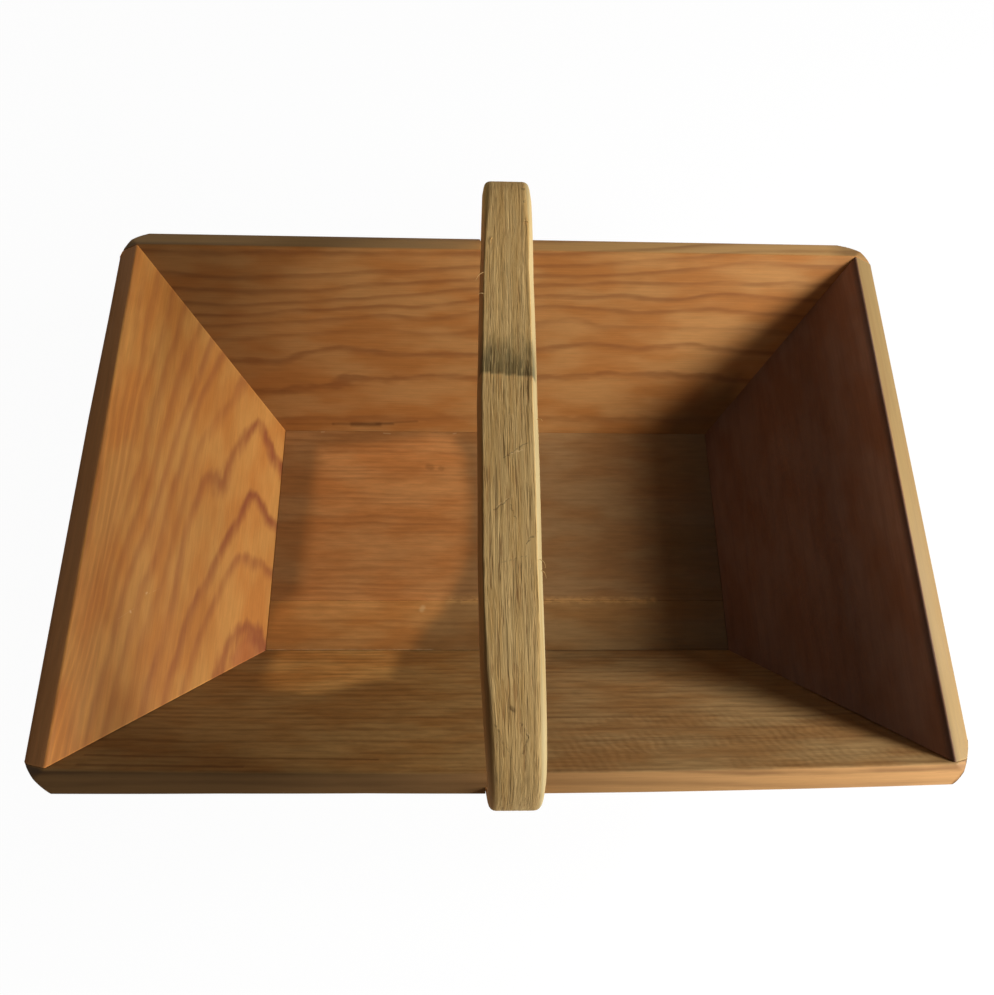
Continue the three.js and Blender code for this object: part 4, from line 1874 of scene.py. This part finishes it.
LEFT_LINES = (
    GrainLine(0, (
        (-103, 35), (-97, 34.5), (-92, 33), (-80, 27.5), (-70, 19.5), (-67.5, 14.5), (-69, 10), (-73, 5),
        (-82, -2),
    )),
    GrainLine(1, (
        (-119, 60), (-110, 59), (-80, 52.5), (-60, 46), (-40, 38), (-32, 34.5), (-25, 30), (-22.5, 24),
        (-23, 17), (-25, 6), (-28, -2),
    )),
    GrainLine(2, (
        (-125, 72.5), (-108, 70), (-100, 67.5), (-68, 62), (-40, 50), (-20, 43.5), (0, 34), (20, 26.5),
        (24.5, 22), (22, 18), (12, 9), (6, -2),
    )),
    GrainLine(3, (
        (-133, 85.5), (-110, 83), (-90, 78), (-70, 76), (-60, 74), (-40, 74), (-20, 72.5), (0, 69),
        (20, 63.5), (27, 60), (22, 50), (30, 47), (47, 44), (76, 28.5), (80, 24), (79, 20.5), (68, 15.5),
        (58, 7), (50, -2),
    )),
    GrainLine(4, (
        (-140, 95.5), (-130, 96), (-115, 93.5), (-90, 92), (-50, 82.5), (-10, 78.5), (35, 72),
        (45, 69.5), (90, 48),
    )),
    GrainLine(5, (
        (-120, 104), (-58, 96.5), (-50, 93), (-20, 87.5), (0, 87), (20, 82.5), (60, 77.5), (80, 74),
        (90, 70), (108, 65),
    )),
    GrainLine(6, ((-145, 115.5), (-100, 110.5), (-60, 107.5), (-10, 96), (50, 87), (110, 74.5))),
    GrainLine(7, ((-150, 121.5), (-130, 121), (-50, 113), (-30, 109.5), (0, 102.8), (90, 92), (128, 82.5))),
    GrainLine(8, (
        (-60, 119.5), (-20, 116), (-10, 113.5), (0, 112.7), (20, 108.5), (50, 107), (57, 107.5),
        (75, 103.5), (95, 102), (115, 98), (128, 97.5),
    )),
    GrainLine(9, ((25, 117.8), (40, 116), (60, 116), (80, 112.5), (112, 108.5), (140, 106))),
    GrainLine(10, (
        (-100, 127), (-20, 122.5), (20, 121.5), (40, 122.5), (80, 120), (115, 121), (130, 119),
        (147, 118),
    )),
)
BACK_LINES = (
    GrainLine(1, ((-130, 10.5), (-90, 10.5), (-60, 11.5), (140, 12))),
    GrainLine(2, (
        (-175, 31), (-140, 34.5), (-130, 34.5), (-120, 36.5), (-115, 39), (-108, 45), (-104, 45.5),
        (-95, 42), (-85, 42), (-50, 45.5), (-15, 44), (30, 44), (80, 49), (100, 47), (130, 49),
        (140, 48),
    )),
    GrainLine(3, (
        (-170, 55.5), (-160, 55), (-150, 57), (-130, 63), (-120, 65), (-110, 65.5), (-80, 61.5),
        (-70, 61), (-40, 62), (-15, 61.5), (45, 68), (55, 70.5), (65, 71.5), (95, 67.5), (135, 71.5),
        (155, 69),
    )),
    GrainLine(4, (
        (-200, 71), (-180, 71.5), (-160, 74), (-80, 79.5), (-50, 76.5), (-40, 76.5), (-20, 78), (50, 89),
        (58, 88), (72, 83.5), (100, 83), (130, 84), (180, 82.5),
    )),
    GrainLine(5, (
        (-190, 81), (-110, 86.5), (-80, 90.5), (-60, 87.5), (-40, 88.5), (-12, 94), (40, 98), (75, 96),
        (95, 94), (115, 95), (145, 98), (165, 96),
    )),
    GrainLine(6, (
        (-200, 88), (-170, 88.5), (-140, 93), (-120, 93), (-80, 97), (-60, 95.5), (-12, 102), (25, 105),
        (60, 105), (90, 106), (100, 104.5), (120, 104), (130, 104.5), (150, 108.5), (170, 107.5),
    )),
    GrainLine(7, (
        (-208, 96.5), (-190, 95), (-170, 95.5), (-155, 97.5), (-135, 98), (-105, 101), (-95, 101),
        (-85, 103), (-65, 104), (-30, 108.5), (25, 112.5), (55, 113.5), (75, 115.5), (130, 114.5),
        (150, 116), (195, 116),
    )),
    GrainLine(8, (
        (-190, 106), (-170, 105), (-120, 107), (-95, 111.5), (-70, 112), (25, 119.5), (55, 119),
        (70, 120), (120, 124), (160, 129.5),
    )),
    GrainLine(9, (
        (-200, 115.5), (-178, 114.5), (-105, 118), (-95, 120), (-65, 120.5), (-27, 124), (40, 126),
        (80, 128.5), (140, 134),
    )),
    GrainLine(10, ((-185, 131.5), (40, 134))),
)


PALE_SCRATCH = srgb(240, 208, 156)
DARK_STREAK = srgb(78, 44, 24)
SEAM_LINE = Mark((-35, -47.3, 0), (108, -47.3, 0), 3.2, srgb(206, 154, 90), 0.65, 0.7, 0.7)
LEFT_PINE = PineFinish(
    srgb(203, 143, 73), srgb(194, 126, 59), srgb(147, 81, 47), srgb(228, 163, 104),
    line_strength=0.75, line_width=1.5, tint=(0.95, 0.8, 1.0, 1.0),
    marks=(
        Mark((-81, 108.5, 0), (-73, 99.5, 0), 0.3, PALE_SCRATCH, 0.4, 1.4),
        Mark((-64, 94, 0), (-57, 84, 0), 0.25, PALE_SCRATCH, 0.35, 1.4),
        Mark((-75.4, 101, 0), (-74.8, 101.4, 0), 0.6, PALE_SCRATCH, 0.35),
        Mark((-62.3, 93, 0), (-61.7, 92.4, 0), 0.5, PALE_SCRATCH, 0.3),
    ),
)
BACK_PINE = PineFinish(
    srgb(199, 142, 82), srgb(187, 122, 62), srgb(132, 77, 42), srgb(214, 166, 104),
    line_strength=0.55,
    marks=(
        Mark((-122, 5.4, 0), (-78, 5.8, 0), 1.4, DARK_STREAK, 0.42, 0.6),
        Mark((-108, 5.2, 0), (-88, 5.4, 0), 2.2, DARK_STREAK, 0.5, 0.6),
        Mark((-90, 5.8, 0), (-60, 8.2, 0), 1.1, DARK_STREAK, 0.34, 0.6),
        Mark((-156, 5.2, 0), (-122, 5.4, 0), 1.2, DARK_STREAK, 0.22, 0.6),
    ),
)
# Its tint warms the painted sunlight on the front board's lower left, and also the board's left part.
FRONT_PINE = PineFinish(
    srgb(178, 143, 94), srgb(166, 124, 75), srgb(106, 69, 40), srgb(206, 155, 98),
    line_strength=0.42, line_spread=0.8, tint=(1.12, 1.05, 0.8, 1.0), ripple=0.36, mottle=0.14,
    marks=(
        Mark((-225, 122, 0), (-70, 124, 0), 1.2, DARK_STREAK, 0.55, 0.8),
        Mark((-225, 131, 0), (-140, 131, 0), 1.6, DARK_STREAK, 0.55, 0.8),
        Mark((-80, 118, 0), (-15, 118.5, 0), 0.9, DARK_STREAK, 0.35, 0.9),
        Mark((70, 105, 0), (150, 104, 0), 0.9, DARK_STREAK, 0.35, 0.9),
        Mark((20, 83, 0), (75, 83.5, 0), 0.8, DARK_STREAK, 0.3, 0.9),
    ),
)
# Painted shade: the tint darkens and cools the right board's whole inner face, and the rim colour is darker
# against the strong light that falls there.
RIGHT_PINE = PineFinish(
    srgb(199, 146, 88), srgb(187, 126, 68), srgb(132, 80, 46), srgb(165, 135, 86),
    line_strength=0.15, tint=(0.42, 0.49, 1.08, 1.0),
)
# The two floor finishes' tint is the warm colour of the painted sunlight on the floor.
REAR_PINE = PineFinish(
    srgb(168, 128, 82), srgb(159, 113, 66), srgb(106, 68, 41), srgb(184, 132, 84),
    line_strength=0.34, line_spread=0.8, tint=(1.18, 0.95, 0.76, 1.0), mottle=0.08,
    marks=(
        SEAM_LINE,
        Mark((-51, 53.6, 0), (-49, 53, 0), 2.2, DARK_STREAK, 0.3, 0.3),
        Mark((-42, 52.4, 0), (-41, 52, 0), 1.8, DARK_STREAK, 0.25, 0.3),
        Mark((-131, 81.0, 0), (-129, 81.3, 0), 0.5, PALE_SCRATCH, 0.25),
        Mark((-85, 80.6, 0), (-80, 80.2, 0), 0.5, PALE_SCRATCH, 0.22),
        Mark((-33, 80.6, 0), (-31, 81.0, 0), 0.5, PALE_SCRATCH, 0.25),
    ),
)
NARROW_PINE = PineFinish(
    srgb(165, 127, 79), srgb(155, 111, 62), srgb(106, 69, 40), srgb(190, 142, 88),
    line_strength=0.34, line_spread=0.8, tint=(1.17, 0.97, 0.77, 1.0), mottle=0.08,
    marks=(
        SEAM_LINE,
        Mark((-53.4, -54, 0), (-52.6, -52.6, 0), 1.6, srgb(232, 190, 130), 0.5, 0.3),
        Mark((-158, -81.6, 0), (-45, -81.6, 0), 0.7, PALE_SCRATCH, 0.22, 0.9, 0.7),
    ),
)
DARK_SCRATCH = srgb(92, 66, 38)
PALE_FIBRE = srgb(248, 216, 158)
# The last two colours are the bevels' painted shade: the left bevel's and the right bevel's tints.
STRIP = StripFinish(
    srgb(216, 172, 104), srgb(241, 204, 138), srgb(112, 78, 44), srgb(172, 116, 64), (0.36, 0.4, 0.42, 1.0),
    (0.8, 0.66, 0.62, 1.0), (0.68, 0.78, 0.94, 1.0),
    marks=(
        Mark((-23.5, 8.3, 9), (-31, -2.7, 9), 0.4, DARK_SCRATCH, 0.6),
        Mark((-26.5, 6.6, 9), (-29.3, 0.5, 9), 0.35, PALE_FIBRE, 0.9),
        Mark((-51, -1, 9), (-56, -7, 9), 0.4, DARK_SCRATCH, 0.6),
        Mark((-50.4, -1.6, 9), (-54.6, -6.6, 9), 0.25, PALE_FIBRE, 0.7),
        Mark((-54, 0, 9), (-62, 2.6, 9), 0.35, DARK_SCRATCH, 0.5),
        Mark((-64.5, 13.5, 8.4), (-71, 6.5, 9), 0.35, DARK_SCRATCH, 0.6),
        Mark((-77, 6.5, 9), (-80.5, -5.5, 9), 0.3, DARK_SCRATCH, 0.4),
        Mark((-144.5, -2.2, 9), (-146, -1.4, 9), 1.0, DARK_SCRATCH, 0.7),
        Mark((-149.6, 2.6, 9), (-155.4, 5.2, 9), 0.25, PALE_FIBRE, 0.7),
        Mark((-150, 1.5, 9), (-156.5, 4.6, 9), 0.4, DARK_SCRATCH, 0.6),
        Mark((-156.5, 4.6, 9), (-163, 2.6, 9), 0.4, DARK_SCRATCH, 0.5),
        Mark((-151, -9.5, 9), (-166, -2.5, 9), 0.4, DARK_SCRATCH, 0.4),
        Mark((154, 9.5, 9), (152, 9.7, 9), 0.8, DARK_SCRATCH, 0.6),
        Mark((140, 9.6, 9), (138.5, 9.8, 9), 0.7, DARK_SCRATCH, 0.5),
    ),
)
STEEL = SteelFinish(srgb(168, 164, 158), srgb(96, 72, 54))
# Outline of a patch of sunlight painted on both floor boards, lighter and warmer.
FLOOR_PAINTED_SUNLIGHT = (
    (-131, 66), (-80, 72), (-50, 78), (-34, 76), (-26, 62), (-24, 40), (-21, 25), (-23, 1),
    (-24.5, -21), (-32, -36), (-40, -54), (-54, -69), (-62, -84), (-170, -84), (-152, -52), (-138, -44),
)


def walls(box: BoxShape) -> tuple[Wall, ...]:
    """The four wall boards, each with its rings, its finish and its lighter and darker areas.

    Args:
        box: sizes that the boards share.

    Returns:
        The boards.
    """
    # Painted shade on the back board: it is darker towards its left end, and corner_shade and foot_shade
    # paint the right wall's shadow into the back-right corner.
    corner_shade = ((250, 150), (160, -15), (100, -15), (118, 20), (160, 60), (205, 112))
    foot_shade = ((190, -15), (120, -15), (127, 10), (142, 26), (175, 48))
    back_tone = Tone(
        along=((-240, 0.52), (-190, 0.585), (-130, 0.88), (-60, 1.0), (60, 1.05), (180, 1.06), (240, 0.98)),
        patches=(Patch(corner_shade, -0.18, 16.0), Patch(foot_shade, -0.55, 10.0)),
    )
    # The first patch paints the floor's sunlight onto the front board's lower left, lighter and warmer;
    # front_shade paints the right wall's shadow onto the front board.
    front_painted_light = (
        (-150, -15), (-150, 40), (-140, 52), (-120, 56), (-100, 50), (-90, 42), (-72, 38), (-66, -15),
    )
    front_shade = (
        (30, -15), (30, 20), (100, 38), (150, 66), (190, 90), (225, 124), (250, 150), (260, 150), (260, -15),
    )
    front_tone = Tone(
        along=((-240, 0.62), (-150, 0.66), (-70, 0.78), (0, 0.92), (60, 1.04), (240, 1.08)),
        patches=(Patch(front_painted_light, 0.85, 7.0, 0.6), Patch(front_shade, -0.38, 14.0)),
        tint_along=((-240, 0.4), (-120, 0.7), (-40, 0.8), (40, 0.1), (240, 0.0)),
    )
    left_dome = ((-101, -4), (-99, 24), (-91, 27), (-82, 22), (-73, 15), (-76, 6), (-84, -4))
    left_tone = Tone(
        along=((-160, 1.1), (-70, 1.02), (0, 0.96), (60, 1.02), (110, 0.95), (150, 0.88)),
        across=((0, 1.0), (25, 1.0), (50, 0.92), (85, 0.88), (105, 0.97), (120, 1.15), (133, 1.22)),
        patches=(Patch(left_dome, -0.15, 3.0, 1.0),),
    )
    # The right board's inner face takes RIGHT_PINE's tint all over as painted shade, and is painted lighter
    # towards the rim as a painted highlight.
    right_tone = Tone(
        along=((-160, 0.65), (-90, 0.85), (-30, 1.05), (40, 1.03), (120, 0.97)),
        across=((0, 0.8), (40, 0.92), (60, 1.06), (90, 1.0), (115, 1.6), (131, 2.4), (134, 1.0)),
        tint_along=((0, 1.0),),
    )
    return (
        Wall(
            box, Side.BACK, "back_board", "long_pine", RingField(BACK_LINES), BACK_PINE,
            notch_at=-0.3, tone=back_tone,
            rim_painted_shading=((-250, 0.6), (-60, 0.68), (20, 0.9), (60, 1.06), (222, 1.1), (234, 0.72), (250, 0.7)),
        ),
        Wall(
            box, Side.FRONT, "front_board", "long_pine", StraightRings(5.6, 4.0, 170.0, 5), FRONT_PINE,
            bow=3.0, notch_at=1.9, tone=front_tone, rim_lines=0.6,
            rim_swell=((-240, 0.0), (-150, -1.2), (-75, -1.6), (0, -1.2), (90, -1.2), (240, -1.3)),
            rim_painted_shading=((-250, 0.3), (-150, 0.34), (-60, 0.48), (0, 0.6), (60, 0.88), (140, 0.98), (250, 1.0)),
        ),
        Wall(
            box, Side.LEFT, "left_end_board", "end_pine", RingField(LEFT_LINES), LEFT_PINE,
            pitch=2.0, worn=0.35, tone=left_tone, rim_lines=-0.75,
            rim_swell=((-160, 0.0), (40, 0.0), (110, -0.9), (170, -1.2)),
            line_gain=((0.0, 1.4), (28.0, 1.3), (50.0, 1.0), (75.0, 0.7), (130.0, 0.55)),
        ),
        Wall(
            box, Side.RIGHT, "right_end_board", "end_pine", StraightRings(9.0, 6.0, 130.0, 9), RIGHT_PINE,
            worn=0.2, tone=right_tone,
        ),
    )


def floor(box: BoxShape) -> tuple[FloorBoard, ...]:
    """The two floor boards, which share a painted patch of sunlight across their seam.

    Args:
        box: sizes that the boards share.

    Returns:
        The boards.
    """
    # Painted sunlight: the patch is lighter and takes the floor finish's warm tint.
    glow = (Patch(FLOOR_PAINTED_SUNLIGHT, 0.8, 8.0, 1.0),)
    lines = ((-158, 0.7), (-120, 1.0), (-30, 1.0), (10, 0.45), (158, 0.3))
    # Both floor boards are painted darker towards the right end, the right wall's painted shadow, and their
    # left part is tinted warmer as painted sunlight.
    rear_tone = Tone(
        along=(
            (-158, 0.74), (-20, 0.78), (10, 0.87), (50, 0.88), (95, 0.8), (112, 0.7), (125, 0.57),
            (145, 0.38), (158, 0.32),
        ),
        across=((-47, 1.0), (-20, 0.92), (10, 0.96), (45, 1.04), (66, 1.12), (80, 1.3)),
        patches=glow, tint_along=((-158, 0.7), (-20, 0.5), (15, 0.0)),
    )
    # The narrow board is also painted darker along the foot of the front wall, painted shade in that crease.
    narrow_tone = Tone(
        along=(
            (-158, 0.78), (-20, 0.82), (10, 0.9), (50, 0.95), (95, 0.84), (112, 0.72), (125, 0.6),
            (145, 0.4), (158, 0.34),
        ),
        across=((-84, 0.72), (-70, 0.86), (-56, 1.04), (-47, 1.06)),
        patches=glow, tint_along=((-158, 0.5), (-20, 0.4), (15, 0.0)),
    )
    return (
        FloorBoard(
            box, "floor_board_rear", False, StraightRings(5.0, 5.5, 120.0, 15, 0.9), REAR_PINE,
            line_along=lines, tone=rear_tone,
        ),
        FloorBoard(
            box, "floor_board_front", True, StraightRings(4.6, 3.5, 120.0, 25, 0.9), NARROW_PINE,
            line_along=lines, tone=narrow_tone,
        ),
    )


def main() -> None:
    """Builds the basket in order."""
    logging.basicConfig(level=logging.INFO, format="%(message)s")
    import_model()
    bpy.context.scene.view_settings.view_transform = "Standard"
    box = BoxShape()
    bow = HandleBow(box, STRIP)
    for part in (*walls(box), *floor(box), bow, LooseFibres(bow, STRIP), Fasteners(box, bow, STEEL)):
        part.build()
    PhotoCamera().build()
    Studio().build()


if __name__ == "__main__":
    main()
